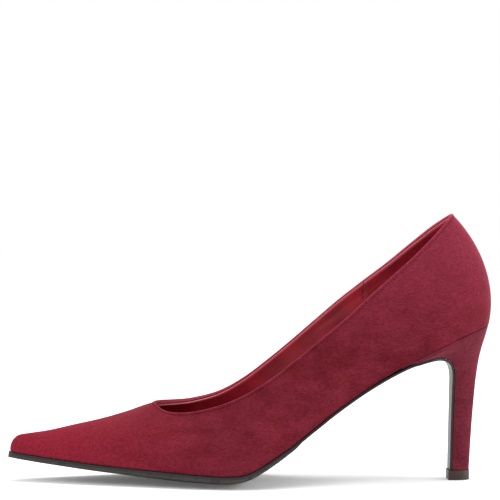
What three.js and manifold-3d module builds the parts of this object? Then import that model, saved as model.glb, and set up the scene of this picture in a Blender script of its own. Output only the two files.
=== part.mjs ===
// A left high heel pump: pointed suede upper, leather lining, lasted insole with a steel shank,
// leather sole with a rubber tread, and a slim covered heel on a plastic top lift.
// Millimetres, +Z up. The toe points along -X, the heel along +X, the outer side is -Y.
import * as THREE from "three";
import { mergeVertices } from "three/addons/utils/BufferGeometryUtils.js";
import Module from "manifold-3d";

const wasm = await Module();
wasm.setup();

// ---------------------------------------------------------------- driving dimensions
const LENGTH = 250; // toe tip to the back of the counter, along the ground
const BALL_WIDTH = 80; // sole width over both ball joints
const SEAT_HEIGHT = 81.2; // ground to the feather line at the back of the heel
const GAP = 0.3; // clearance between pieces that are cemented or nailed together

const SUEDE = 1.2; // upper
const STIFFENER = 1.0; // toe puff and heel counter
const TAPE = 0.3; // reinforcing tape under the topline
const LINING = 0.8;
const INSOLE = 2.0; // insole board
const SOCK = 0.9; // insock
const HEEL_CUSHION = 2.4;
const TOE_CUSHION = 1.4;
const LONG_SOLE = 1.1; // leather sole that runs on down the breast of the heel
const TREAD = 1.3; // rubber forepart at its edge
const CROWN = 4.8; // how much further the tread reaches down in the middle of the ball
const MARGIN = 12; // lasting margin turned under the insole
const SOLE_LEDGE = 0.7; // how far the sole stands out past the upper

const LIFT_HEIGHT = 5.0; // top lift
const LIFT_OVERHANG = 0.6; // top lift past the heel, at the breast
const COVER = 0.9; // suede on the heel
const PIN_RADIUS = 1.2; // pin of the top lift
const PIN_LENGTH = 18;
const PIN_SEAT = 3.2; // how deep the pin sits in the lift
const TUBE_WALL = 0.8; // steel tube in the heel
const TUBE_LENGTH = 42;
const NAIL_RADIUS = 0.9;
const NAIL_LENGTH = 10.5;
const NAIL_HEAD = 0.7;
const SCREW_RADIUS = 2;
const SCREW_LENGTH = 19;
const SCREW_HEAD_RADIUS = 3.6;
const SCREW_HEAD = 1.4;

const SHANK_WIDTH = 12;
const SHANK = 1.3;
const RIVET_RADIUS = 1.5;
const RIVET_HEAD_RADIUS = 2.8;
const RIVET_HEAD = 0.5;
const THREAD_RADIUS = 0.25;
const STITCH_INSET = 2; // stitch line below the topline

// The outlines below are drawn at these sizes and scaled to the driving ones.
const DRAWN = { length: 250, width: 80, seat: 81.2 };
const BALL_X = -12;
const HEEL_BACK_X = 123.6;

// ---------------------------------------------------------------- curves
// Catmull-Rom through rows of numbers; u runs from 0 to rows.length - 1. Past its ends the curve
// goes on over the rows of `other`, the mirror side of the shoe, or straight on when there is none.
function spline(rows, u, other) {
  const last = rows.length - 1;
  const i = Math.min(last - 1, Math.max(0, Math.floor(u)));
  const t = u - i;
  const at = (k) => {
    if (k < 0) return other ? other[-k] : rows[0].map((v, c) => 2 * v - rows[1][c]);
    if (k > last) return other ? other[2 * last - k] : rows[last].map((v, c) => 2 * v - rows[last - 1][c]);
    return rows[k];
  };
  const [a, b, c, d] = [at(i - 1), at(i), at(i + 1), at(i + 2)];
  return b.map((v, k) => {
    const slopeIn = (c[k] - a[k]) / 2;
    const slopeOut = (d[k] - b[k]) / 2;
    const h = t * t * (3 - 2 * t);
    return v * (1 - h) + c[k] * h + slopeIn * t * (1 - t) ** 2 - slopeOut * t * t * (1 - t);
  });
}

// A smooth height through [x, z] knots with uneven spacing.
function knotted(knots, x) {
  const last = knots.length - 1;
  if (x <= knots[0][0]) return knots[0][1] + (x - knots[0][0]) * chord(knots, 0);
  if (x >= knots[last][0]) return knots[last][1] + (x - knots[last][0]) * chord(knots, last - 1);
  const i = knots.findIndex((k, n) => n < last && x < knots[n + 1][0]);
  const [x0, z0] = knots[i];
  const [x1, z1] = knots[i + 1];
  const span = x1 - x0;
  const before = i > 0 ? (chord(knots, i - 1) + chord(knots, i)) / 2 : chord(knots, i);
  const after = i < last - 1 ? (chord(knots, i) + chord(knots, i + 1)) / 2 : chord(knots, i);
  const t = (x - x0) / span;
  const h = t * t * (3 - 2 * t);
  return z0 * (1 - h) + z1 * h + span * (before * t * (1 - t) ** 2 - after * t * t * (1 - t));
}
function chord(knots, i) {
  return (knots[i + 1][1] - knots[i][1]) / (knots[i + 1][0] - knots[i][0]);
}
const mix = (a, b, t) => a + (b - a) * t;
const clamp = (v, lo = 0, hi = 1) => Math.min(hi, Math.max(lo, v));
const ease = (v) => clamp(v) ** 2 * (3 - 2 * clamp(v));

// Drawn coordinates to real ones: length and width scale, and the pitch of the foot follows the heel.
const scaleX = (x) => (x * LENGTH) / DRAWN.length;
const scaleY = (y) => (y * BALL_WIDTH) / DRAWN.width;
const pitch = (x) => (SEAT_HEIGHT - DRAWN.seat) * clamp((x - BALL_X) / (HEEL_BACK_X - BALL_X)) ** 1.2;
const lift = (x, z) => pitch(x) * clamp(z / knotted(BOTTOM, x));
const place = (x, y, z) => new THREE.Vector3(scaleX(x), scaleY(y), z + lift(x, z));

// ---------------------------------------------------------------- the last
// Height of the bottom of the lasted upper on the centre line, and its twist up to the inner side.
const BOTTOM = [
  [-124.2, 15.2], [-112, 13.7], [-96, 12.1], [-80, 10.6], [-60, 9.2], [-42, 8.2], [-26, 7.3],
  [-14, 7], [-4, 8.1], [4, 11.9], [12, 16.9], [20, 22.2], [30, 29.9], [42, 39.1], [55.5, 48.2],
  [70, 56.7], [84, 63.9], [97.4, 70.5], [110.4, 76.5], [123.4, 81.2],
];
const TWIST = [
  [-124, 0], [-20, 0.005], [5, 0.012], [25, 0.03], [45, 0.055], [60, 0.05], [75, 0.018], [90, 0],
  [124, 0],
];
const bottomZ = (x, y) => knotted(BOTTOM, x) + knotted(TWIST, x) * y;

// Feather line in plan, from the back of the heel to the toe tip: [x, y, lean of the wall in degrees].
const FEATHER = {
  outer: [
    [123.6, 0, 12], [120.1, -13, 12], [110.4, -22.4, 10], [97.4, -26, 12], [84, -25.3, 14], [70, -23.8, 16],
    [55.5, -24.9, 18], [41, -28.4, 18], [27, -33.9, 16], [14, -39.8, 12], [2, -44, 9], [-10, -44.6, 7],
    [-24, -42, 7], [-34, -39.2, 7], [-43, -35.8, 8], [-51, -32.8, 8], [-59, -29.9, 8], [-68, -26.6, 8],
    [-80, -22, 8], [-92, -17.2, 7], [-104, -12.2, 6], [-113.5, -8.3, 5], [-121.2, -5.4, 5], [-125.2, 0, 5],
  ],
  inner: [
    [123.6, 0, 12], [120.1, 13, 12], [110.4, 22.4, 10], [97.4, 26, 12], [84, 25, 16], [70, 21.9, 24],
    [55.5, 17.8, 36], [41, 14.6, 44], [27, 14.9, 42], [14, 19.4, 34], [2, 25.8, 22], [-10, 31, 12],
    [-24, 33.6, 8], [-34, 33.1, 7], [-43, 31.4, 7], [-51, 29.3, 7], [-59, 27, 8], [-68, 24.2, 8],
    [-80, 20, 8], [-92, 15.8, 7], [-104, 11.5, 6], [-113.5, 8.1, 5], [-121.2, 5.4, 5], [-125.2, 0, 5],
  ],
};
const STATIONS = FEATHER.outer.length - 1;
const THROAT = 15; // station of the throat, where the topline meets the ridge of the vamp

// Topline, then the ridge of the vamp to the toe: [x, y, z, lean, fall of the ridge].
const RIDGE = [
  [-49.9, -2.5, 40.5, 0.3], [-55.5, -2.3, 38.8, 0.31], [-64, -1.9, 35.9, 0.33], [-77, -1.4, 32.2, 0.27],
  [-91, -0.8, 29.1, 0.2], [-104, -0.4, 26.2, 0.16], [-112.5, -0.1, 24.9, 0.13], [-117.6, 0, 24.2, 0.13],
  [-119.1, 0, 24, 0.13],
];
const RIDGE_TILT = 7; // degrees that the vamp rises towards the inner side at the throat
const TOP = {
  outer: [
    [104.3, 0, 138.2, 46, 0], [101.7, -9.4, 135.8, 42, 0], [94.5, -15.8, 128.3, 32, 0],
    [84, -19.9, 117.9, 22, 0],
    [72.5, -22.9, 107.7, 17, 0], [60, -25.3, 96.9, 15, 0], [47, -27.2, 85.1, 14, 0], [34, -28.8, 74.3, 14, 0],
    [21, -30, 63.8, 14, 0], [8.5, -30.7, 54.3, 16, 0], [-4, -30.5, 46.7, 20, 0], [-17, -28.7, 41.1, 27, 0],
    [-31, -24.1, 37.5, 40, 0.05], [-41, -17.8, 36.8, 56, 0.15], [-46.6, -11, 38, 72, 0.25],
  ],
  inner: [
    [104.3, 0, 138.2, 46, 0], [101.7, 9.4, 136.3, 42, 0], [94.5, 15.6, 130.9, 32, 0], [84, 19.3, 122.2, 22, 0],
    [72.5, 22.1, 112.5, 16, 0], [60, 24.2, 102.9, 12, 0], [47, 26, 92.7, 9, 0], [34, 27.2, 81.5, 7, 0],
    [21, 27.9, 70.3, 7, 0], [8.5, 28.1, 60.1, 9, 0], [-4, 27.7, 50.9, 15, 0], [-17, 26, 44.1, 25, 0],
    [-31, 21.4, 40.9, 42, 0.05], [-41, 14.2, 40.6, 60, 0.15], [-47.2, 6.2, 40.9, 78, 0.25],
  ],
};
for (const side of ["outer", "inner"]) {
  RIDGE.forEach(([x, y, z, fall], k) => {
    const tilt = RIDGE_TILT * (1 - k / (RIDGE.length - 1));
    TOP[side].push([x, y, z, side === "outer" ? 90 - tilt : 90 + tilt, fall]);
  });
}

const mirror = { outer: "inner", inner: "outer" };
const SIDES = ["outer", "inner"];

// Feather point and its outward direction in plan, at a station of one side.
function feather(side, s) {
  const row = (u) => spline(FEATHER[side], u, FEATHER[mirror[side]]);
  const [x, y, lean] = row(s);
  const before = row(Math.max(0, s - 0.02));
  const after = row(Math.min(STATIONS, s + 0.02));
  const turn = side === "outer" ? 1 : -1;
  const along = new THREE.Vector3(scaleX(after[0] - before[0]), scaleY(after[1] - before[1]), 0);
  if (s === 0) along.set(0, -turn, 0);
  if (s === STATIONS) along.set(0, turn, 0);
  along.normalize();
  const out = new THREE.Vector3(-along.y * turn, along.x * turn, 0);
  return { at: place(x, y, bottomZ(x, y)), x, y, out, lean };
}
function topPoint(side, s) {
  const line = (rows) => rows.slice(0, THROAT + 1);
  const [x, y, z, lean, fall] =
    s <= THROAT
      ? spline(line(TOP[side]), s, line(TOP[mirror[side]]))
      : spline(TOP[side].slice(THROAT), s - THROAT);
  return { at: place(x, y, z), lean, fall };
}

// A point of the upper's outer surface: v runs from the feather line to the topline or ridge.
function wall(side, s, v) {
  const foot = feather(side, s);
  const top = topPoint(side, s);
  const rise = top.at.z - foot.at.z;
  const reach = Math.hypot(top.at.x - foot.at.x, top.at.y - foot.at.y);
  const height = Math.hypot(rise, reach);
  const closed = ease((top.lean - 30) / 55);
  const footPull = mix(0.37 * height, 0.56 * rise, closed);
  const topPull = mix(0.3 * height, 0.56 * reach, closed);
  const footLean = THREE.MathUtils.degToRad(foot.lean);
  const topLean = THREE.MathUtils.degToRad(top.lean);
  const forward = Math.max(0, -foot.out.x);
  const p1 = foot.at.clone().addScaledVector(foot.out, footPull * Math.sin(footLean));
  p1.z += footPull * Math.cos(footLean);
  const p2 = top.at.clone().addScaledVector(foot.out, topPull * Math.sin(topLean));
  p2.z -= topPull * (Math.cos(topLean) + top.fall * forward * Math.sin(topLean));
  return new THREE.CubicBezierCurve3(foot.at, p1, p2, top.at).getPoint(v);
}

// ---------------------------------------------------------------- solids
// Collects triangles over shared points and makes the mesh of one piece.
class Solid {
  constructor() {
    this.points = [];
    this.seen = new Map();
    this.faces = [];
  }
  point(p) {
    const key = [p.x, p.y, p.z].map((c) => Math.round(c * 1e4)).join();
    if (!this.seen.has(key)) this.seen.set(key, this.points.push(p.clone()) - 1);
    return this.seen.get(key);
  }
  triangle(a, b, c) {
    if (a !== b && b !== c && c !== a) this.faces.push([a, b, c]);
  }
  quad(a, b, c, d) {
    this.triangle(a, b, c);
    this.triangle(a, c, d);
  }
  normals() {
    const sum = this.points.map(() => new THREE.Vector3());
    for (const face of this.faces) {
      const [p, q, r] = face.map((k) => this.points[k]);
      const n = q.clone().sub(p).cross(r.clone().sub(p));
      face.forEach((k) => sum[k].add(n));
    }
    return sum.map((n) => n.normalize());
  }
  volume() {
    const part = ([a, b, c]) => this.points[a].dot(this.points[b].clone().cross(this.points[c])) / 6;
    return this.faces.reduce((sum, face) => sum + part(face), 0);
  }
  geometry() {
    if (this.volume() < 0) this.faces.forEach((face) => face.reverse());
    const flat = this.faces.flatMap((f) => f.flatMap((k) => this.points[k].toArray()));
    return new THREE.BufferGeometry().setAttribute("position", new THREE.Float32BufferAttribute(flat, 3));
  }
}

// A closed plate from grids of [outer point, inner point]; grids that meet are joined.
function plate(...grids) {
  const sheet = new Solid();
  const under = [];
  for (const grid of grids) {
    const ids = grid.map((row) =>
      row.map(([up, down]) => {
        const id = sheet.point(up);
        under[id] ??= down;
        return id;
      }),
    );
    for (let i = 0; i + 1 < ids.length; i++) {
      for (let j = 0; j + 1 < ids[i].length; j++) {
        sheet.quad(ids[i][j], ids[i][j + 1], ids[i + 1][j + 1], ids[i + 1][j]);
      }
    }
  }
  const solid = new Solid();
  const up = sheet.points.map((p) => solid.point(p));
  const down = under.map((p) => solid.point(p));
  const edges = new Map();
  for (const [a, b, c] of sheet.faces) {
    solid.triangle(up[a], up[b], up[c]);
    solid.triangle(down[a], down[c], down[b]);
    for (const [p, q] of [[a, b], [b, c], [c, a]]) {
      if (!edges.delete(`${q},${p}`)) edges.set(`${p},${q}`, [p, q]);
    }
  }
  for (const [p, q] of edges.values()) solid.quad(up[q], up[p], down[p], down[q]);
  return solid.geometry();
}

function solidOf(geometry) {
  const bare = geometry.index ? geometry.toNonIndexed() : geometry.clone();
  const plain = new THREE.BufferGeometry().setAttribute("position", bare.getAttribute("position"));
  const merged = mergeVertices(plain, 1e-4);
  return new wasm.Manifold(
    new wasm.Mesh({
      numProp: 3,
      vertProperties: merged.attributes.position.array,
      triVerts: new Uint32Array(merged.index.array),
    }),
  );
}
function geometryOf(solid) {
  const mesh = solid.getMesh();
  const points = new Float32Array(mesh.numVert * 3);
  for (let i = 0; i < mesh.numVert; i++) {
    points.set(mesh.vertProperties.subarray(i * mesh.numProp, i * mesh.numProp + 3), i * 3);
  }
  return new THREE.BufferGeometry()
    .setAttribute("position", new THREE.BufferAttribute(points, 3))
    .setIndex(new THREE.BufferAttribute(mesh.triVerts, 1));
}
function drilled(geometry, tools) {
  return geometryOf(tools.reduce((left, tool) => left.subtract(solidOf(tool)), solidOf(geometry)));
}
const range = (n) => Array.from({ length: n }, (_, k) => k);

// A turned piece: [radius, height] pairs from the bottom to the top, set along an axis.
function turned(profile, at, axis, sides = 12) {
  const spin = new THREE.Quaternion().setFromUnitVectors(new THREE.Vector3(0, 0, 1), axis);
  const set = (x, y, z) => new THREE.Vector3(x, y, z).applyQuaternion(spin).add(at);
  const solid = new Solid();
  const angle = (c) => (c / sides) * 2 * Math.PI;
  const rings = profile.map(([r, h]) =>
    range(sides).map((c) => solid.point(set(r * Math.cos(angle(c)), r * Math.sin(angle(c)), h))),
  );
  const ends = [profile[0], profile[profile.length - 1]].map(([, h]) => solid.point(set(0, 0, h)));
  for (let c = 0; c < sides; c++) {
    const d = (c + 1) % sides;
    for (let k = 0; k + 1 < rings.length; k++) {
      solid.quad(rings[k][c], rings[k][d], rings[k + 1][d], rings[k + 1][c]);
    }
    solid.triangle(ends[0], rings[0][d], rings[0][c]);
    solid.triangle(ends[1], rings[rings.length - 1][c], rings[rings.length - 1][d]);
  }
  return solid.geometry();
}
const rod = (radius, length, at, axis, sides) => turned([[radius, 0], [radius, length]], at, axis, sides);

// A thread: a thin tube along points, closed or open.
function thread(path, closed) {
  const n = path.length;
  const at = (k) => path[closed ? (k + n) % n : Math.min(n - 1, Math.max(0, k))];
  const solid = new Solid();
  const ids = path.map(({ point, normal }, k) => {
    const along = at(k + 1).point.clone().sub(at(k - 1).point).normalize();
    const side = normal.clone().cross(along).normalize();
    const up = along.clone().cross(side).normalize();
    return range(5).map((c) => {
      const [x, y] = [Math.cos((c / 5) * 2 * Math.PI), Math.sin((c / 5) * 2 * Math.PI)];
      const offset = side.clone().multiplyScalar(x).addScaledVector(up, y);
      return solid.point(point.clone().addScaledVector(offset, THREAD_RADIUS));
    });
  });
  for (let k = 0; k < (closed ? n : n - 1); k++) {
    const [a, b] = [ids[k], ids[(k + 1) % n]];
    for (let c = 0; c < 5; c++) solid.quad(a[c], a[(c + 1) % 5], b[(c + 1) % 5], b[c]);
  }
  for (let c = 1; c < 4 && !closed; c++) {
    solid.triangle(ids[0][0], ids[0][c + 1], ids[0][c]);
    solid.triangle(ids[n - 1][0], ids[n - 1][c], ids[n - 1][c + 1]);
  }
  return solid.geometry();
}

// ---------------------------------------------------------------- layers of the upper
const DIV = 2; // columns per station
const WINGS = 4.5; // station of the tips of the heel's wings
const STEPS = 20; // steps up a column
const skin = (() => {
  const sheet = new Solid();
  const ids = {};
  for (const side of SIDES) {
    const grid = range(STATIONS * DIV + 1).map((i) =>
      range(STEPS + 1).map((j) => sheet.point(wall(side, i / DIV, j / STEPS))),
    );
    ids[side] = grid;
    for (let i = 0; i + 1 < grid.length; i++) {
      for (let j = 0; j < STEPS; j++) {
        const corners = [grid[i][j], grid[i][j + 1], grid[i + 1][j + 1], grid[i + 1][j]];
        sheet.quad(...(side === "outer" ? corners : corners.reverse()));
      }
    }
  }
  const normals = sheet.normals();
  return (side, i, j) => ({ point: sheet.points[ids[side][i][j]], normal: normals[ids[side][i][j]] });
})();

// The bottom of the lasted upper at a plan position, the height over it, and the point at a height.
function floorAt(x, y) {
  const z = (a, b) => place(a, b, bottomZ(a, b)).z;
  const [dx, dy] = [x / scaleX(1), y / scaleY(1)];
  const slopeX = (z(dx + 0.5, dy) - z(dx - 0.5, dy)) / scaleX(1);
  const slopeY = (z(dx, dy + 0.5) - z(dx, dy - 0.5)) / scaleY(1);
  const normal = new THREE.Vector3(-slopeX, -slopeY, 1).normalize();
  return { point: new THREE.Vector3(x, y, z(dx, dy)), normal };
}
function above(p) {
  const floor = floorAt(p.x, p.y);
  return (p.z - floor.point.z) * floor.normal.z;
}
function over(x, y, h) {
  const floor = floorAt(x, y);
  return floor.point.addScaledVector(floor.normal, h);
}

// How much of the stiffener is present, from 0 to 1, at a station and a height of the wall.
const COUNTER_END = 7;
const COUNTER_TOP = 0.84;
const PUFF_END = 18.7;
const THIN = 0.35;
function stiff(s, v) {
  const ramp = (d) => (d < 1 ? mix(1, THIN, clamp(d)) : mix(THIN, 0, clamp(d - 1)));
  const counter = Math.min(ramp((s - COUNTER_END) / 1.5 + 1), ramp((v - COUNTER_TOP) / 0.12 + 1));
  return Math.max(counter, ramp((PUFF_END - s) / 1.5 + 1));
}
const taped = (s, v) => ease((v - 0.6) / 0.12) * (1 - ease(s - THROAT));
const stiffDepth = (s, v) => SUEDE + GAP + STIFFENER * stiff(s, v);
function liningDepth(s, v) {
  const stiffener = STIFFENER * stiff(s, v) + GAP * clamp(stiff(s, v) / THIN);
  return SUEDE + GAP + Math.max(stiffener, (TAPE + GAP) * taped(s, v));
}
const liningInner = (s, v) => liningDepth(s, v) + LINING;
const constant = (d) => () => d;

// An offset column of the wall at a station, from the bottom (or a height `low`) to the height `high`
// or a distance `drop` under it. depth gives the depth into the wall, foot the height over the bottom.
function column(side, s, depth, foot, { rows = 9, low = null, high = 1, drop = 0 } = {}) {
  const i = Math.min(STATIONS * DIV - 1, Math.floor(s * DIV));
  const f = s * DIV - i;
  const line = range(STEPS + 1).map((j) => {
    const [a, b] = [skin(side, i, j), skin(side, i + 1, j)];
    const normal = a.normal.clone().lerp(b.normal, f).normalize();
    return a.point.clone().lerp(b.point, f).addScaledVector(normal, -depth(s, j / STEPS));
  });
  let start = low === null ? 0 : low * STEPS;
  if (low === null && foot > 0) {
    let j = 1;
    while (j < STEPS - 1 && above(line[j]) < foot) j++;
    const [h0, h1] = [above(line[j - 1]), above(line[j])];
    start = j - 1 + clamp((foot - h0) / (h1 - h0));
  }
  let end = high * STEPS;
  for (let left = drop; left > 0; ) {
    const k = Math.ceil(end) - 1;
    const step = line[k].distanceTo(line[k + 1]);
    if (step * (end - k) > left) {
      end -= left / step;
      break;
    }
    left -= step * (end - k);
    end = k;
  }
  return range(rows + 1).map((r) => {
    const u = mix(start, end, r / rows);
    const k = Math.min(STEPS - 1, Math.floor(u));
    return line[k].clone().lerp(line[k + 1], u - k);
  });
}

// The lasting margin at a station stops short of the middle line of the bottom.
function marginEnd(side, s, width) {
  const foot = feather(side, s);
  const axis = new THREE.Vector3(THREE.MathUtils.clamp(foot.at.x, scaleX(-104), scaleX(104)), 0, 0);
  const across = axis.sub(foot.at).setZ(0);
  const reach = Math.min(0.68, width / across.length());
  return foot.at.clone().setZ(0).addScaledVector(across, reach);
}

// One layer of the upper over a run of stations, with its margin turned in under the last.
function layer(side, stations, depths, options = {}) {
  const rows = stations.map((s) => {
    const [up, down] = depths.map((depth) => {
      const foot = depth(s, 0);
      const line = column(side, s, depth, foot, options);
      if (options.low != null) return line;
      const end = marginEnd(side, s, options.margin ?? MARGIN);
      const turnedIn = [1, 0.5].map((m) => over(mix(line[0].x, end.x, m), mix(line[0].y, end.y, m), foot));
      return [...turnedIn, ...line];
    });
    return up.map((p, k) => [p, down[k]]);
  });
  return side === "outer" ? rows : rows.reverse();
}
// Stations between two of them: closer where the outline or the topline turns.
const run = (from, to) => {
  const turns = (s) => s <= WINGS || (s > 7.9 && s < 11.6) || (s > 12.9 && s < 15.6) || s > 20.9;
  const all = range(STATIONS * DIV + 1).map((i) => i / DIV).filter((s) => Number.isInteger(s) || turns(s));
  return [from, ...all.filter((s) => s > from + 0.1 && s < to - 0.1), to];
};
const both = (stations, depths, options) => SIDES.map((side) => layer(side, stations, depths, options));

const pieces = [];
function piece(name, geometry, colour, roughness = 0.6, metalness = 0) {
  geometry.computeVertexNormals();
  const finish = { name: `${name}_finish`, color: colour, roughness, metalness };
  const material = new THREE.MeshStandardMaterial(finish);
  const mesh = new THREE.Mesh(geometry, material);
  mesh.name = name;
  pieces.push(mesh);
}
const SUEDE_RED = 0x8a2b3a;
const LINING_RED = 0x7a1f29;
const STEEL = 0x9ea3a8;
const FIBRE = 0xb09a7c;

// ---------------------------------------------------------------- upper, stiffeners and lining
piece("suede_upper", plate(...both(run(0, STATIONS), [constant(0), constant(SUEDE)])), SUEDE_RED, 0.9);

const stiffener = [constant(SUEDE + 1.2 * GAP), stiffDepth];
const shorter = 0.8 * MARGIN;
piece("heel_counter",
  plate(...both(run(0, COUNTER_END), stiffener, { high: COUNTER_TOP, margin: shorter, rows: 7 })), FIBRE);
piece("toe_puff", plate(...both(run(PUFF_END, STATIONS), stiffener, { margin: shorter, rows: 6 })), FIBRE);

const SEAM = 5; // station of the seam between the two linings
const seamGap = (GAP / LENGTH) * 9;
const lining = [liningDepth, liningInner];
const topEdge = { drop: 1.8 };
piece("quarter_lining", plate(...both(run(0, SEAM - seamGap), lining, topEdge)), LINING_RED, 0.5);

// The drop of the lining's edge under the topline fades out where the topline runs into the vamp.
const faded = (s) => ({ drop: 1.8 * (1 - ease((s - THROAT) / 0.5)) });
const vampLining = SIDES.map((side) => {
  const rows = run(SEAM + seamGap, STATIONS).flatMap((s) => layer(side, [s], lining, faded(s)));
  return side === "outer" ? rows : rows.reverse();
});
piece("vamp_lining", plate(...vampLining), LINING_RED, 0.5);

// Points of an offset column's outer face a given distance under its top, in order round the topline.
function alongTopline(depth, below, from, to) {
  const at = (side, s) => {
    const point = column(side, s, depth, 0, { rows: 1, drop: below })[1];
    const lower = column(side, s, depth, 0, { rows: 1, drop: below + 1 })[1];
    const near = column(side, Math.max(0, s - 0.1), depth, 0, { rows: 1, drop: below })[1];
    const next = column(side, Math.min(THROAT, s + 0.1), depth, 0, { rows: 1, drop: below })[1];
    const normal = point.clone().sub(lower).cross(next.sub(near)).normalize();
    return { point, lower, normal: side === "outer" ? normal : normal.negate() };
  };
  const stations = run(from, to);
  const outer = stations.map((s) => at("outer", s));
  const inner = stations.map((s) => at("inner", s)).reverse();
  return [...outer, ...inner.slice(to === THROAT ? 1 : 0, inner.length - (from === 0 ? 1 : 0))];
}
const tapeDepths = [constant(SUEDE + GAP), constant(SUEDE + GAP + TAPE)];
const tapeEdges = { low: COUNTER_TOP + 0.03, drop: 1.5, rows: 2 };
const tapeBand = (side) => layer(side, run(0, THROAT), tapeDepths, tapeEdges);
piece("topline_tape", plate(...SIDES.map(tapeBand)), 0xd9d4cc);

const seat = THREAD_RADIUS + 0.25; // thread centre off the face it lies on
piece("topline_thread", thread(alongTopline(constant(-seat), STITCH_INSET, 0, THROAT), true), 0x4a1620, 0.8);
for (const side of SIDES) {
  const depth = (s, v) => liningInner(s, v) + seat;
  const line = column(side, SEAM - 0.15, depth, 10, { rows: 14, drop: 3 });
  const across = column(side, SEAM + 0.15, depth, 10, { rows: 14, drop: 3 });
  const path = line.map((point, k) => {
    const up = line[Math.min(14, k + 1)].clone().sub(line[Math.max(0, k - 1)]);
    return { point, normal: up.cross(across[k].clone().sub(point)).normalize() };
  });
  piece(`lining_seam_thread_${side}`, thread(path, false), 0x4a1620, 0.8);
}

// ---------------------------------------------------------------- insole, cushions and insock
// Heights over the bottom of the lasted upper.
const boardFrom = (s) => liningInner(s, 0) + GAP;
const boardTo = (s) => boardFrom(s) + INSOLE;
const fade = (s, from, to) => 1 - ease((s - from) / (to - from));
const HEEL_FOAM_END = 6;
const TOE_FOAM = [9, 18];
const heelFoam = (s) => mix(0.5, HEEL_CUSHION, fade(s, 3.5, HEEL_FOAM_END));
const toeFoam = (s) => mix(0.5, TOE_CUSHION, fade(s, 16, TOE_FOAM[1]) * (1 - fade(s, TOE_FOAM[0], 11)));
const sockFrom = (s) => {
  const heel = (heelFoam(s) + GAP) * fade(s, HEEL_FOAM_END, HEEL_FOAM_END + 1);
  const behind = 1 - fade(s, TOE_FOAM[0] - 1, TOE_FOAM[0] - 0.5);
  const toe = (toeFoam(s) + GAP) * fade(s, TOE_FOAM[1], TOE_FOAM[1] + 1) * behind;
  return boardTo(s) + GAP + Math.max(heel, toe);
};
const sockTo = (s) => sockFrom(s) + SOCK;

// The edge of a slab inside the lining at a height over the bottom, set in by `inset`.
function inner(side, s, h, inset) {
  return column(side, s, (u, v) => liningInner(u, v) + inset, h, { rows: 1 })[0];
}
// A slab across the shoe between two heights over the bottom.
function slab(stations, from, to, inset, lanes = 2) {
  const rows = stations.map((s) => {
    const [up, down] = [to(s), from(s)].map((h) => {
      const edges = (side) => [from(s), to(s)].map((h) => inner(side, s, h, inset(s)));
      const [a, b] = SIDES.map((side) => edges(side).sort((p, q) => Math.abs(p.y) - Math.abs(q.y))[0]);
      return range(lanes + 1).map((k) => over(mix(a.x, b.x, k / lanes), mix(a.y, b.y, k / lanes), h));
    });
    return up.map((p, k) => [p, down[k]]);
  });
  return plate(rows);
}
// A pin driven along the normal of the insole board; heights are over the bottom of the upper.
function across(x, y) {
  const floor = floorAt(scaleX(x), scaleY(y));
  return { axis: floor.normal, at: (h) => floor.point.clone().addScaledVector(floor.normal, h) };
}
const boardAtHeel = boardTo(2);
const NAILS = [[98, -8], [98, 8], [107, -5.6], [107, 5.6]];
const nailHoles = NAILS.flatMap(([x, y]) => {
  const { axis, at } = across(x, y);
  return [
    rod(NAIL_RADIUS + GAP, 30, at(boardAtHeel - 20), axis),
    rod(1.8 + GAP, 5, at(boardAtHeel - NAIL_HEAD - 2 * GAP), axis),
  ];
});
const SCREW_X = 104;
const screwSeat = across(SCREW_X, 0);
const screwHoles = [
  rod(SCREW_RADIUS + GAP, 40, screwSeat.at(boardAtHeel - 30), screwSeat.axis),
  rod(SCREW_HEAD_RADIUS + GAP, 5, screwSeat.at(boardAtHeel - SCREW_HEAD - 0.9 * GAP), screwSeat.axis),
];
// The shank lies in the middle of the space between the lasting margins.
const shankMiddle = (s) => marginEnd("outer", s, MARGIN).add(marginEnd("inner", s, MARGIN)).multiplyScalar(0.5);
const SHANK_RUN = [3.9, 10.6];
const RIVETS = { front: 9.6, back: 4.6 };
const rivetSeats = Object.entries(RIVETS).map(([name, s]) => {
  const middle = shankMiddle(s);
  return { name, s, ...across(middle.x / scaleX(1), middle.y / scaleY(1)) };
});
const rivetHoles = rivetSeats.flatMap(({ s, axis, at }) => [
  rod(RIVET_RADIUS + GAP, 20, at(boardTo(s) - 10), axis),
  rod(RIVET_HEAD_RADIUS + GAP, 5, at(boardTo(s) - RIVET_HEAD - 2 * GAP), axis),
]);
const board = slab(run(0, 20.5), boardFrom, boardTo, (s) => 2 * GAP);
piece("insole_board", drilled(board, [...nailHoles, ...screwHoles, ...rivetHoles]), FIBRE, 0.8);
const foamGap = (s) => 1.2;
const foamFrom = (s) => boardTo(s) + GAP;
const cushion = (stations, thickness) =>
  slab(stations, foamFrom, (s) => foamFrom(s) + thickness(s), foamGap);
piece("heel_cushion", cushion(run(0, HEEL_FOAM_END), heelFoam), 0xe4dcc8, 0.9);
piece("toe_cushion", cushion(run(...TOE_FOAM), toeFoam), 0xe4dcc8, 0.9);
piece("insock", slab(run(0, 19.5), sockFrom, sockTo, (s) => 0.8), LINING_RED, 0.5);

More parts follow.
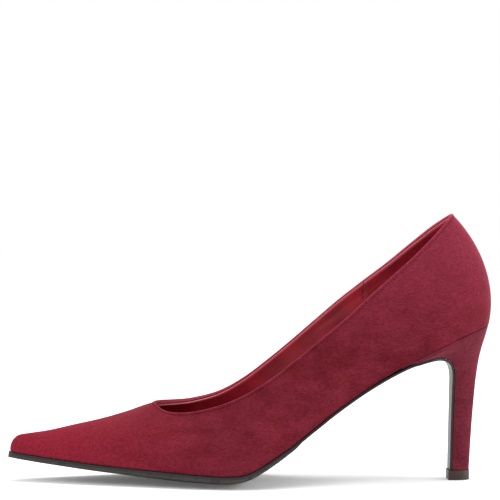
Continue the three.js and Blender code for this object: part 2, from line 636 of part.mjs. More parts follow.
const shank = run(...SHANK_RUN).map((s) => {
  const middle = shankMiddle(s);
  const taper = 1 - 0.45 * ease((Math.abs(s - 7.25) - 2.2) / 1.2);
  const top = boardFrom(s) - GAP;
  return [-1, -0.33, 0.33, 1].map((k) => {
    const y = middle.y + 0.5 * SHANK_WIDTH * taper * k;
    return [over(middle.x, y, top), over(middle.x, y, top - SHANK)];
  });
});
const shankHoles = rivetSeats.map(({ axis, at }) => rod(RIVET_RADIUS + GAP, 20, at(-8), axis));
piece("steel_shank", drilled(plate(shank), shankHoles), STEEL, 0.35, 1);
for (const { name, s, axis, at } of rivetSeats) {
  const bottom = boardFrom(s) - GAP - SHANK - 0.5 * GAP;
  const length = boardTo(s) - 1.2 * GAP - bottom;
  const profile = [
    [RIVET_HEAD_RADIUS, -RIVET_HEAD], [RIVET_HEAD_RADIUS, 0], [RIVET_RADIUS, 0],
    [RIVET_RADIUS, length - RIVET_HEAD], [RIVET_HEAD_RADIUS, length - RIVET_HEAD], [RIVET_HEAD_RADIUS, length],
  ];
  piece(`shank_rivet_${name}`, turned(profile, at(bottom), axis), STEEL, 0.35, 1);
}
const fillerRows = run(11, 19.5).map((s) => {
  const [a, b] = SIDES.map((side) => {
    const end = marginEnd(side, s, MARGIN);
    return end.lerp(shankMiddle(s), 0.12);
  });
  return range(3).map((k) => {
    const [x, y] = [mix(a.x, b.x, k / 2), mix(a.y, b.y, k / 2)];
    return [over(x, y, boardFrom(s) - GAP), over(x, y, 0)];
  });
});
piece("bottom_filler", plate(fillerRows), 0xa98358, 0.9);

// ---------------------------------------------------------------- heel
// Sections of the heel from the top lift to the seat: front x, z; back x, z; half width.
const SECTIONS = [
  [104.2, 5.3, 113.4, 5.3, 6.3], [104.7, 28, 114.8, 28, 6.6], [105.2, 46, 116.4, 47, 7.3],
  [105.3, 55, 117.5, 56.5, 8.8], [104, 60.2, 118.7, 63.8, 11.5], [100.8, 63.2, 120.2, 69.9, 15.5],
  [96, 64.3, 121.5, 74.1, 19.5], [90.4, 63.5, 122.5, 77.5, 22.5], [83.3, 61.6, 123.1, 79.8, 24.8],
  [77, 60.1, 123.4, 80.9, 26],
];
const SEAT = SECTIONS.length - 1;
const SEAT_HALF = SECTIONS[SEAT][4];
const HEEL_BASE = LIFT_HEIGHT + GAP;
// The outline of a section has the shape of the feather line round the seat.
function heelPoint(side, f, t) {
  const [frontX, frontZ, backX, backZ, half] = spline(SECTIONS, t);
  const foot = feather(side, WINGS * f);
  const wing = feather(side, WINGS);
  const a = (HEEL_BACK_X - foot.x) / (HEEL_BACK_X - wing.x);
  const x = mix(backX, frontX, a);
  const y = (foot.y / SEAT_HALF) * half;
  const z = mix(backZ, frontZ, a);
  const seat = place(x, y, bottomZ(x, y));
  const p = place(x, y, Math.max(z, HEEL_BASE));
  p.z = mix(p.z, seat.z - 1.5 * GAP, clamp(t - SEAT + 1));
  return p;
}
const FLANK = 9; // columns on each side of the heel
const ROWS = 14;
const flank = (() => {
  const sheet = new Solid();
  const grid = range(2 * FLANK + 1).map((c) => {
    const side = c < FLANK ? "outer" : "inner";
    const f = Math.abs(c - FLANK) / FLANK;
    return range(ROWS + 1).map((r) => sheet.point(heelPoint(side, f, (r / ROWS) * SEAT)));
  });
  for (let c = 0; c < 2 * FLANK; c++) {
    for (let r = 0; r < ROWS; r++) sheet.quad(grid[c][r], grid[c + 1][r], grid[c + 1][r + 1], grid[c][r + 1]);
  }
  const normals = sheet.normals();
  return (depth) =>
    grid.map((ids) =>
      ids.map((id, r) => {
        const p = sheet.points[id].clone().addScaledVector(normals[id], -depth);
        if (r === 0) p.z = HEEL_BASE;
        if (r === ROWS) p.z = floorAt(p.x, p.y).point.z - 1.5 * GAP;
        return p;
      }),
    );
})();
const [outerFace, innerFace, blockFace] = [flank(0), flank(COVER), flank(COVER + GAP)];
const coverGrid = outerFace.map((points, c) => points.map((p, r) => [p, innerFace[c][r]]));
piece("heel_cover", plate(coverGrid), SUEDE_RED, 0.9);

// The block fills the cover; every column of its left side is paired with one on the right.
const blockGrid = range(FLANK + 1).map((c) =>
  range(ROWS + 1).map((r) => [blockFace[c][r], blockFace[2 * FLANK - c][r]]),
);
const tubeRadius = PIN_RADIUS + GAP + TUBE_WALL;
const heelMiddle = (z) => {
  const t = range(SEAT * 10).map((k) => k / 10).find((k) => spline(SECTIONS, k)[1] >= z);
  const [frontX, , backX] = spline(SECTIONS, t);
  return scaleX((frontX + backX) / 2);
};
const boreAt = (z) => new THREE.Vector3(heelMiddle(z), 0, z);
const boreFoot = boreAt(HEEL_BASE);
const bore = boreAt(HEEL_BASE + TUBE_LENGTH).sub(boreFoot).normalize();
const along = (d) => boreFoot.clone().addScaledVector(bore, d);
piece("heel_block",
  drilled(plate(blockGrid), [rod(tubeRadius + GAP, TUBE_LENGTH + 3, along(-2), bore), ...nailHoles,
    rod(SCREW_RADIUS + GAP, 40, screwSeat.at(boardAtHeel - SCREW_LENGTH - GAP), screwSeat.axis)]),
  0xd8d2c6, 0.5);
const tube = rod(tubeRadius, TUBE_LENGTH, along(0.2), bore, 16);
piece("heel_tube", drilled(tube, [rod(PIN_RADIUS + GAP, TUBE_LENGTH + 4, along(-2), bore, 16)]), STEEL, 0.4, 1);
NAILS.forEach(([x, y], k) => {
  const { axis, at } = across(x, y);
  const profile = [[0.3, 0], [NAIL_RADIUS, 1.5], [NAIL_RADIUS, NAIL_LENGTH - NAIL_HEAD],
    [1.8, NAIL_LENGTH - NAIL_HEAD], [1.8, NAIL_LENGTH]];
  piece(`heel_nail_${k + 1}`, turned(profile, at(boardAtHeel - NAIL_LENGTH - GAP), axis, 10), STEEL, 0.4, 1);
});
const screwProfile = [[0.5, 0], [SCREW_RADIUS, 3], [SCREW_RADIUS, SCREW_LENGTH - SCREW_HEAD],
  [SCREW_HEAD_RADIUS, SCREW_LENGTH - SCREW_HEAD], [SCREW_HEAD_RADIUS, SCREW_LENGTH - 0.2]];
piece("heel_screw",
  turned(screwProfile, screwSeat.at(boardAtHeel - SCREW_LENGTH), screwSeat.axis), STEEL, 0.4, 1);

// ---------------------------------------------------------------- sole
// Rows of the leather sole's upper face, from the toe along the waist and down the breast.
const ledge = (side, s) => {
  const foot = feather(side, s);
  const out = foot.at.clone().addScaledVector(foot.out, SOLE_LEDGE);
  return over(out.x, out.y, -GAP);
};
const WAIST_END = 5;
const soleRows = run(WAIST_END, STATIONS).reverse().map((s) => SIDES.map((side) => ledge(side, s)));
for (let t = SEAT - 0.6; t > 0.2; t -= 0.4) {
  const inset = (side) => new THREE.Vector3(0, side === "outer" ? GAP : -GAP, 0);
  soleRows.push(SIDES.map((side) => heelPoint(side, 1, t).add(inset(side))));
}
soleRows.push(SIDES.map((side) => heelPoint(side, 1, 0)));
const middles = soleRows.map(([a, b]) => a.clone().add(b).multiplyScalar(0.5));
const WAIST_ROWS = run(WAIST_END, STATIONS).length;
// Square to the path of the sole, away from the shoe.
const soleDown = middles.map((m, k) => {
  const step = middles[Math.min(k + 1, middles.length - 1)].clone().sub(middles[Math.max(k - 1, 0)]);
  return new THREE.Vector3(step.z, 0, -step.x).normalize();
});
const LANES = 2;
const soleGrid = soleRows.map(([a, b], k) => {
  const off = k < WAIST_ROWS ? 0 : GAP * clamp(k - WAIST_ROWS + 1);
  return range(LANES + 1).map((lane) => {
    let p = a.clone().lerp(b, lane / LANES);
    if (k < WAIST_ROWS) p = over(p.x, p.y, -GAP);
    const down = k < WAIST_ROWS ? floorAt(p.x, p.y).normal.negate() : soleDown[k];
    const top = p.addScaledVector(down, off);
    const bottom = top.clone().addScaledVector(down, LONG_SOLE);
    for (const q of [top, bottom]) if (k === soleRows.length - 1) q.z = HEEL_BASE;
    return [top, bottom];
  });
});
piece("leather_sole", plate(soleGrid), 0x3a2c26, 0.35);

// The tread ends in an arc across the foot, with a thin bevelled rear edge; its bottom is crowned.
const TREAD_END = [8.6, 7.9, 9.7]; // stations at the outer edge, the middle and the inner edge
const ARC_FROM = 10.5;
const treadRows = [...run(ARC_FROM, STATIONS).reverse(), 0.25, 0.5, 0.7, 0.85, 0.93, 1];
function treadStation(row, k) {
  const middle = 4 * k * (1 - k);
  const end = mix(TREAD_END[0], TREAD_END[2], k) + middle * (TREAD_END[1] - (TREAD_END[0] + TREAD_END[2]) / 2);
  return row > 1 ? row : mix(ARC_FROM, end, row);
}
function treadPoint(row, k) {
  const s = treadStation(row, k);
  const [a, b] = SIDES.map((side) => ledge(side, s));
  const [x, y] = [mix(a.x, b.x, k), mix(a.y, b.y, k)];
  const thin = mix(0.9, 1, ease((STATIONS - s) / 6));
  const bevel = row > 1 ? 1 : mix(0.5, 1, ease((1 - row) / 0.35));
  const behind = ease((s - 8.6) / 2.6); // 0 at the rear edge, 1 under the ball
  const ahead = mix(0.12, 1, ease((STATIONS - s) / 10.5));
  const crown = CROWN * ahead * behind * (1 - (2 * k - 1) ** 2);
  const top = GAP + LONG_SOLE + GAP;
  const bottom = over(x, y, -top - TREAD * thin * mix(0.6, 1, behind) * bevel - crown);
  bottom.z = Math.max(0, bottom.z);
  return [over(x, y, -top), bottom];
}
const treadGrid = treadRows.map((row) => range(7).map((k) => treadPoint(row, k / 6)));
piece("rubber_tread", plate(treadGrid), 0x37332f, 0.7);

// ---------------------------------------------------------------- top lift
const breast = soleGrid[soleGrid.length - 1][0][1].x;
const back = heelPoint("outer", 0, 0).x + 0.2;
const liftOutline = [1, ...range(FLANK).map((k) => (FLANK - k - 1) / FLANK)];
const liftGrid = liftOutline.map((f) => {
  const edge = (side) => {
    const p = heelPoint(side, f, 0);
    const a = (back - 0.2 - p.x) / (back - 0.2 - heelPoint(side, 1, 0).x);
    return new THREE.Vector3(mix(back, breast - LIFT_OVERHANG, a), p.y * 1.05, 0);
  };
  const [a, b] = [edge("outer"), edge("inner")];
  return [0, 0.5, 1].map((k) => {
    const p = a.clone().lerp(b, k);
    return [p.clone().setZ(LIFT_HEIGHT), p];
  });
});
const pinFoot = along(-(HEEL_BASE - LIFT_HEIGHT) / bore.z - PIN_SEAT);
const pinHole = rod(PIN_RADIUS + GAP, PIN_LENGTH, pinFoot.clone().addScaledVector(bore, -GAP), bore, 16);
piece("top_lift", drilled(plate(liftGrid), [pinHole]), 0x473b39, 0.6);
piece("top_lift_pin", rod(PIN_RADIUS, PIN_LENGTH, pinFoot, bore, 12), STEEL, 0.4, 1);

// ---------------------------------------------------------------- the shoe stands over the origin
const shoe = new THREE.Group().add(...pieces);
const box = new THREE.Box3().setFromObject(shoe);
const centre = box.getCenter(new THREE.Vector3());
for (const mesh of pieces) mesh.geometry.translate(-centre.x, -centre.y, -box.min.z);
export default shoe;
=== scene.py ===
import math

import bmesh
import bpy
import numpy as np
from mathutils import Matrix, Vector, kdtree


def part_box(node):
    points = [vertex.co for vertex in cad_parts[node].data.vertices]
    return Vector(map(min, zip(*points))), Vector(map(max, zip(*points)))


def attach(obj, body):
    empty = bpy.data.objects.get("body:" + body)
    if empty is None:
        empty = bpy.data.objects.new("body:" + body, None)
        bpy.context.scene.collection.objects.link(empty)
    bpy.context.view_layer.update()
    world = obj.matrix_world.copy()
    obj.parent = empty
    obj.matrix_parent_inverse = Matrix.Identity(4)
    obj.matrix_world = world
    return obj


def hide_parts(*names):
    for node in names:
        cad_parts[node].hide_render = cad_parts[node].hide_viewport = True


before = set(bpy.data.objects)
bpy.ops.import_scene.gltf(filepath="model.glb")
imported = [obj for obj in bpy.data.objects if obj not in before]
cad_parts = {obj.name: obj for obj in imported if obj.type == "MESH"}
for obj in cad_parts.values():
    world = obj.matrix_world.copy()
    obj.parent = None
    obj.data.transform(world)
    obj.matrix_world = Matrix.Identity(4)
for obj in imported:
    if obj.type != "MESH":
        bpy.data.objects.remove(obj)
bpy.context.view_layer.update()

# ---------------------------------------------------------------- suede upper
# One piece of goatskin suede, pulled over a wooden last and cemented under the insole. Its top
# edge is folded over a tape and stitched down, so that edge is round and a little puffed.

# Height of the bottom of the lasted upper along the middle, and its twist up to the inner side.
BOTTOM = [
    (-124.2, 15.2), (-112, 13.7), (-96, 12.1), (-80, 10.6), (-60, 9.2), (-42, 8.2), (-26, 7.3),
    (-14, 7), (-4, 8.1), (4, 11.9), (12, 16.9), (20, 22.2), (30, 29.9), (42, 39.1), (55.5, 48.2),
    (70, 56.7), (84, 63.9), (97.4, 70.5), (110.4, 76.5), (123.4, 81.2),
]
TWIST = [
    (-124, 0), (-20, 0.005), (5, 0.012), (25, 0.03), (45, 0.055), (60, 0.05), (75, 0.018),
    (90, 0), (124, 0),
]
# Feather line, where the upper turns under, from the back of the heel to the toe tip:
# x, distance out from the middle line, lean of the wall in degrees.
FEATHER = {
    "outer": [
        (123.6, 0, 12), (120.1, 13, 12), (110.4, 22.4, 10), (97.4, 26, 12), (84, 25.3, 14),
        (70, 23.8, 16), (55.5, 24.9, 18), (41, 28.4, 18), (27, 33.9, 16), (14, 39.8, 12), (2, 44, 9),
        (-10, 44.6, 7), (-24, 42, 7), (-34, 39.2, 7), (-43, 35.8, 8), (-51, 32.8, 8), (-59, 29.9, 8),
        (-68, 26.6, 8), (-80, 22, 8), (-92, 17.2, 7), (-104, 12.2, 6), (-113.5, 8.3, 5),
        (-121.2, 5.4, 5), (-125.2, 0, 5),
    ],
    "inner": [
        (123.6, 0, 12), (120.1, 13, 12), (110.4, 22.4, 10), (97.4, 26, 12), (84, 25, 16),
        (70, 21.9, 24), (55.5, 17.8, 36), (41, 14.6, 44), (27, 14.9, 42), (14, 19.4, 34), (2, 25.8, 22),
        (-10, 31, 12), (-24, 33.6, 8), (-34, 33.1, 7), (-43, 31.4, 7), (-51, 29.3, 7), (-59, 27, 8),
        (-68, 24.2, 8), (-80, 20, 8), (-92, 15.8, 7), (-104, 11.5, 6), (-113.5, 8.1, 5),
        (-121.2, 5.4, 5), (-125.2, 0, 5),
    ],
}
TOE = len(FEATHER["outer"]) - 1
THROAT = 15
# Topline from the back to the throat: x, y, z, lean of the wall, fall of the edge to the toe.
TOPLINE = {
    "outer": [
        (104.3, 0, 138.2, 46, 0), (101.7, -9.4, 135.8, 42, 0), (94.5, -15.8, 128.3, 32, 0),
        (84, -19.9, 117.9, 22, 0), (72.5, -22.9, 107.7, 17, 0), (60, -25.3, 96.9, 15, 0),
        (47, -27.2, 85.1, 14, 0), (34, -28.8, 74.3, 14, 0), (21, -30, 63.8, 14, 0),
        (8.5, -30.7, 54.3, 16, 0), (-4, -30.5, 46.7, 20, 0), (-17, -28.7, 41.1, 27, 0),
        (-31, -24.1, 37.5, 40, 0.05), (-41, -17.8, 36.8, 56, 0.15), (-46.6, -11, 38, 72, 0.25),
    ],
    "inner": [
        (104.3, 0, 138.2, 46, 0), (101.7, 9.4, 136.3, 42, 0), (94.5, 15.6, 130.9, 32, 0),
        (84, 19.3, 122.2, 22, 0), (72.5, 22.1, 112.5, 16, 0), (60, 24.2, 102.9, 12, 0),
        (47, 26, 92.7, 9, 0), (34, 27.2, 81.5, 7, 0), (21, 27.9, 70.3, 7, 0),
        (8.5, 28.1, 60.1, 9, 0), (-4, 27.7, 50.9, 15, 0), (-17, 26, 44.1, 25, 0),
        (-31, 21.4, 40.9, 42, 0.05), (-41, 14.2, 40.6, 60, 0.15), (-47.2, 6.2, 40.9, 78, 0.25),
    ],
}
# Ridge of the vamp from the throat to the toe: x, y, z, fall.
RIDGE = [
    (-49.9, -2.5, 40.5, 0.3), (-55.5, -2.3, 38.8, 0.31), (-64, -1.9, 35.9, 0.33),
    (-77, -1.4, 32.2, 0.27), (-91, -0.8, 29.1, 0.2), (-104, -0.4, 26.2, 0.16),
    (-112.5, -0.1, 24.9, 0.13), (-117.6, 0, 24.2, 0.13), (-119.1, 0, 24, 0.13),
]
RIDGE_TILT = 7
SIDES = {"outer": -1, "inner": 1}
MIRROR = {"outer": "inner", "inner": "outer"}
# The skin is 1.2 mm thick, 12 mm of it is turned under, and cement fills 0.3 mm between layers.
SUEDE, MARGIN, GAP = 1.2, 12, 0.3
# The tables stand about the middle of the heel; the back of the top lift shows where that is.
LIFT_BACK = 113.6
lift_low, lift_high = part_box("top_lift")
DRAWN_AT = np.array([lift_high.x * 1000 - LIFT_BACK, (lift_low.y + lift_high.y) * 500, 0])


def hermite(b, c, slope_in, slope_out, t):
    h = t * t * (3 - 2 * t)
    return b * (1 - h) + c * h + slope_in * t * (1 - t) ** 2 - slope_out * t * t * (1 - t)


def spline(rows, u, other=None):
    """A curve through rows; past its ends it goes on over the mirror side, or straight."""
    last = len(rows) - 1
    i = min(last - 1, max(0, math.floor(u)))

    def at(k):
        if 0 <= k <= last:
            return rows[k]
        if other is not None:
            return other[-k if k < 0 else 2 * last - k]
        return 2 * rows[0] - rows[1] if k < 0 else 2 * rows[last] - rows[last - 1]

    a, b, c, d = (at(k) for k in (i - 1, i, i + 1, i + 2))
    return hermite(b, c, (c - a) / 2, (d - b) / 2, u - i)


def knotted(knots, x):
    """A smooth height through unevenly spaced knots."""
    chords = [(z1 - z0) / (x1 - x0) for (x0, z0), (x1, z1) in zip(knots, knots[1:])]
    i = sum(x >= k[0] for k in knots) - 1
    if i < 0:
        return knots[0][1] + (x - knots[0][0]) * chords[0]
    if i >= len(chords):
        return knots[-1][1] + (x - knots[-1][0]) * chords[-1]
    (x0, z0), (x1, z1) = knots[i], knots[i + 1]
    before = (chords[max(0, i - 1)] + chords[i]) / 2 if i else chords[0]
    after = (chords[i] + chords[min(len(chords) - 1, i + 1)]) / 2
    span = x1 - x0
    return hermite(z0, z1, before * span, after * span, (x - x0) / span)


def mix(a, b, t):
    return a + (b - a) * t


def ease(t):
    t = np.clip(t, 0, 1)
    return t * t * (3 - 2 * t)


def floor_at(x, y):
    """The point of the lasted bottom at a plan position, and its upward normal."""
    z = lambda a, b: knotted(BOTTOM, a) + knotted(TWIST, a) * b
    normal = np.array([z(x - 0.5, y) - z(x + 0.5, y), z(x, y - 0.5) - z(x, y + 0.5), 1])
    return np.array([x, y, z(x, y)]), normal / np.linalg.norm(normal)


def over(x, y, h):
    point, normal = floor_at(x, y)
    return point + h * normal


feather_rows, topline_rows, ridge_rows = {}, {}, {}
for side, sign in SIDES.items():
    feather_rows[side] = [np.array([x, sign * y, lean]) for x, y, lean in FEATHER[side]]
    ridge_rows[side] = [
        np.array([x, y, z, 90 + sign * RIDGE_TILT * (1 - k / (len(RIDGE) - 1)), fall])
        for k, (x, y, z, fall) in enumerate(RIDGE)
    ]
    topline_rows[side] = [np.array(row, float) for row in TOPLINE[side]] + ridge_rows[side][:1]


def feather(side, s):
    """The feather line at a station: its point, the way out from it, and the lean of the wall."""
    rows = feather_rows[side], feather_rows[MIRROR[side]]
    x, y, lean = spline(rows[0], s, rows[1])
    ahead, behind = min(TOE, s + 0.02), max(0, s - 0.02)
    along = spline(rows[0], ahead, rows[1]) - spline(rows[0], behind, rows[1])
    if s in (0, TOE):
        along = np.array([0, SIDES[side] * (1 if s == 0 else -1), 0])
    along = along[:2] / np.linalg.norm(along[:2])
    out = np.array([along[1], -along[0], 0]) * SIDES[side]
    return floor_at(x, y)[0], out, lean


# Columns stand 8 to a station, with 60 steps up each that crowd towards the topline.
DIV, STEPS, CROWD = 8, 60, 1.5
UP = 1 - (1 - np.linspace(0, 1, STEPS + 1)) ** CROWD
# How far the wall keeps its lean at its foot and its top, and over the closed toes at both.
FOOT_PULL, TOP_PULL, CLOSED_PULL = 0.37, 0.3, 0.56


def wall_line(side, s):
    """Points up the outer face of the upper at one station, from the feather line to its top."""
    foot, out, lean = feather(side, s)
    if s <= THROAT:
        x, y, z, top_lean, fall = spline(topline_rows[side], s, topline_rows[MIRROR[side]])
    else:
        x, y, z, top_lean, fall = spline(ridge_rows[side], s - THROAT)
    top = np.array([x, y, z])
    rise, reach = top[2] - foot[2], math.hypot(x - foot[0], y - foot[1])
    height = math.hypot(rise, reach)
    closed = ease((top_lean - 30) / 55)
    foot_pull = mix(FOOT_PULL * height, CLOSED_PULL * rise, closed)
    top_pull = mix(TOP_PULL * height, CLOSED_PULL * reach, closed)
    lean, top_lean = math.radians(lean), math.radians(top_lean)
    forward = max(0, -out[0])
    p1 = foot + foot_pull * (out * math.sin(lean) + np.array([0, 0, math.cos(lean)]))
    down = math.cos(top_lean) + fall * forward * math.sin(top_lean)
    p2 = top + top_pull * (out * math.sin(top_lean) - np.array([0, 0, down]))
    v = UP[:, None]
    return (1 - v) ** 3 * foot + 3 * (1 - v) ** 2 * v * p1 + 3 * (1 - v) * v * v * p2 + v**3 * top


# Columns of the wall run from the toe along the outer side, round the heel and back on the inner.
columns = [("outer", k / DIV) for k in range(TOE * DIV, 0, -1)]
columns += [("inner", k / DIV) for k in range(TOE * DIV + 1)]
skin = np.array([wall_line(side, s) for side, s in columns])
quads = np.cross(skin[1:, 1:] - skin[:-1, :-1], skin[:-1, 1:] - skin[1:, :-1])
normals = np.zeros_like(skin)
for i, j in ((0, 0), (0, 1), (1, 0), (1, 1)):
    normals[i : len(quads) + i, j : STEPS + j] += quads
normals[0] = normals[-1] = normals[0] + normals[-1]
for i, (side, s) in enumerate(columns):
    if side == "outer" and s >= THROAT:
        normals[i, -1] = normals[-1 - i, -1] = normals[i, -1] + normals[-1 - i, -1]
normals /= np.linalg.norm(normals, axis=2)[:, :, None]


def column_at(side, s):
    """Points and normals of the wall between two of its columns."""
    u = (TOE + SIDES[side] * s) * DIV
    i = min(len(columns) - 2, int(u))
    normal = mix(normals[i], normals[i + 1], u - i)
    return mix(skin[i], skin[i + 1], u - i), normal / np.linalg.norm(normal, axis=1)[:, None]


def offset_line(side, s, depth, foot=0, drop=0, low=0, count=STEPS):
    """The wall at a depth, from a height over the bottom, or the share low, to a drop under its top."""
    points, across = column_at(side, s)
    line = points - across * np.reshape(depth(s, UP) * np.ones(STEPS + 1), (-1, 1))
    length = np.concatenate([[0], np.cumsum(np.linalg.norm(np.diff(line, axis=0), axis=1))])
    start = np.interp(low, UP, length)
    if foot > 0:
        heights = []
        for p in line[: STEPS // 2]:
            ground, normal = floor_at(p[0], p[1])
            heights.append((p - ground) @ normal)
        start = np.interp(foot, np.maximum.accumulate(heights), length[: STEPS // 2])
    at = mix(start, length[-1] - drop, 1 - (1 - np.linspace(0, 1, count + 1)) ** CROWD)
    return np.stack([np.interp(at, length, line[:, c]) for c in range(3)], axis=1)


# The margin is pulled towards the middle line, at both ends towards a point 104 mm from the
# middle of the shoe, and never over more than two thirds of the way.
PULLED_TO, MOST_PULLED = 104, 0.68


def margin_end(side, s):
    foot = feather(side, s)[0]
    across = np.array([np.clip(foot[0], -PULLED_TO, PULLED_TO) - foot[0], -foot[1], 0])
    return foot + across * min(MOST_PULLED, MARGIN / np.linalg.norm(across))


def layer(side, s, depths, drop=0, low=0, count=STEPS):
    """One column of a layer of the upper as [outer point, inner point] pairs, margin first."""
    faces = []
    for depth in depths:
        foot = float(depth(s, 0.0))
        line = offset_line(side, s, depth, foot if low == 0 else 0, drop, low, count)
        if low == 0:
            end = margin_end(side, s)
            turned = [over(*mix(line[0][:2], end[:2], m), foot) for m in (1, 0.5, 0.15)]
            line = [*turned, *line]
        faces.append(line)
    return list(zip(*faces))


SHARP, ROUNDING = math.radians(38), 3


def add_mesh(name, points, faces, rim=0):
    """One object from points in millimetres, with its sharp edges rounded by rim."""
    mesh = bpy.data.meshes.new(name)
    mesh.from_pydata([tuple((np.asarray(p) + DRAWN_AT) / 1000) for p in points], [], faces)
    bm = bmesh.new()
    bm.from_mesh(mesh)
    bmesh.ops.recalc_face_normals(bm, faces=bm.faces)
    bm.to_mesh(mesh)
    bm.free()
    mesh.shade_smooth()
    piece = bpy.data.objects.new(name, mesh)
    bpy.context.scene.collection.objects.link(piece)
    if rim:
        edge = piece.modifiers.new("rounded edges", "BEVEL")
        edge.width, edge.segments = rim / 1000, ROUNDING
        edge.limit_method, edge.angle_limit = "ANGLE", SHARP
    return piece


def plate(name, *grids, rim=0):
    """A closed sheet from grids of (outer point, inner point, share); grids that meet join.

    The share is kept as the attribute "finish_and_highlight": it says where the piece is rubbed, inked
    or pressed, and where a painted highlight lies along its edge.
    """
    triples, seen, faces = [], {}, []
    for grid in grids:
        ids = []
        for row in grid:
            ids.append([])
            for triple in row:
                key = tuple(np.round(np.asarray(triple[0]) * 100).astype(int))
                if key not in seen:
                    seen[key] = len(triples)
                    triples.append(triple)
                ids[-1].append(seen[key])
        for a, b in zip(ids, ids[1:]):
            for j in range(len(a) - 1):
                corners = list(dict.fromkeys((a[j], a[j + 1], b[j + 1], b[j])))
                if len(corners) > 2:
                    faces.append(corners)
    open_edges = {}
    for face in faces:
        for p, q in zip(face, face[1:] + face[:1]):
            if open_edges.pop((q, p), None) is None:
                open_edges[p, q] = True
    n = len(triples)
    faces += [[v + n for v in reversed(face)] for face in faces]
    faces += [[q, p, p + n, q + n] for p, q in open_edges]
    piece = add_mesh(name, [t[0] for t in triples] + [t[1] for t in triples], faces, rim)
    shares = [t[2] if len(t) > 2 else 0.0 for t in triples] * 2
    piece.data.attributes.new("finish_and_highlight", "FLOAT", "POINT").data.foreach_set("value", shares)
    return piece


def fit(piece, slot, *cad_nodes):
    """Fixes a piece to the shoe in place of its plain CAD solids."""
    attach(piece, "root")
    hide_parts(*cad_nodes)


def linear(code):
    """A hex sRGB colour as linear red, green, blue, alpha."""
    parts = [int(code[k : k + 2], 16) / 255 for k in (0, 2, 4)]
    return (*(c / 12.92 if c <= 0.04045 else ((c + 0.055) / 1.055) ** 2.4 for c in parts), 1)


def node(tree, kind, inputs, **settings):
    """Adds a node; inputs are values or the sockets that they come from."""
    made = tree.nodes.new("ShaderNode" + kind)
    for key, value in settings.items():
        setattr(made, key, value)
    for key, value in inputs.items():
        if isinstance(value, bpy.types.NodeSocket):
            tree.links.new(value, made.inputs[key])
        else:
            made.inputs[key].default_value = value
    return made


def new_material(name):
    """An empty material, its node tree and its object coordinates, which are metres."""
    material = bpy.data.materials.new(name)
    material.use_nodes = True
    material.node_tree.nodes.clear()
    return material, material.node_tree, node(material.node_tree, "TexCoord", {}).outputs["Object"]


def blend(tree, share, first, second, way="MIX"):
    """The socket of two colours mixed by a share."""
    mixed = node(tree, "Mix", {0: share, 6: first, 7: second}, data_type="RGBA", blend_type=way)
    return mixed.outputs[2]


def times(tree, first, second):
    """The socket of a product."""
    return node(tree, "Math", {0: first, 1: second}, operation="MULTIPLY").outputs[0]


def ranged(tree, value, start=(0, 1), end=(0, 1)):
    """The socket of a value carried over from one range to another."""
    return node(tree, "MapRange", {
        "Value": value, "From Min": start[0], "From Max": start[1], "To Min": end[0], "To Max": end[1],
    }).outputs[0]


def noise(tree, at, size, detail, rough=0.5):
    """The socket of a noise whose features are this many millimetres across."""
    return node(tree, "TexNoise", {
        "Vector": at, "Scale": per_mm(size), "Detail": detail, "Roughness": rough,
    }).outputs[0]


def raised(tree, height, strength, depth, under=None):
    """The socket of a bump by a depth in metres, over another one where that is given."""
    below = {} if under is None else {"Normal": under}
    shape = {"Strength": strength, "Distance": depth, "Height": height, **below}
    return node(tree, "Bump", shape).outputs[0]


def finished(material, shading):
    """Gives a material its surface."""
    shader = node(material.node_tree, "BsdfPrincipled", shading)
    node(material.node_tree, "OutputMaterial", {"Surface": shader.outputs[0]})
    return material


def per_mm(size):
    """Texture scale for a pattern whose features are this many millimetres across."""
    return 1000 / size


# Suede: the flesh side of goatskin, drum dyed and buffed to a short nap. It is matt, glows a
# little at grazing angles, and is blotched where the nap lies different ways: patches of 26 mm and
# brush strokes of 7 mm. The real nap is 0.2 mm; it is drawn at 0.9 mm so that it shows.
PATCH, STROKE, NAP = 26, 7, 0.9
# The colour of the folded edge: rubbed nap with a painted highlight on it.
RUBBED_EDGE_HIGHLIGHT = "c04c60"


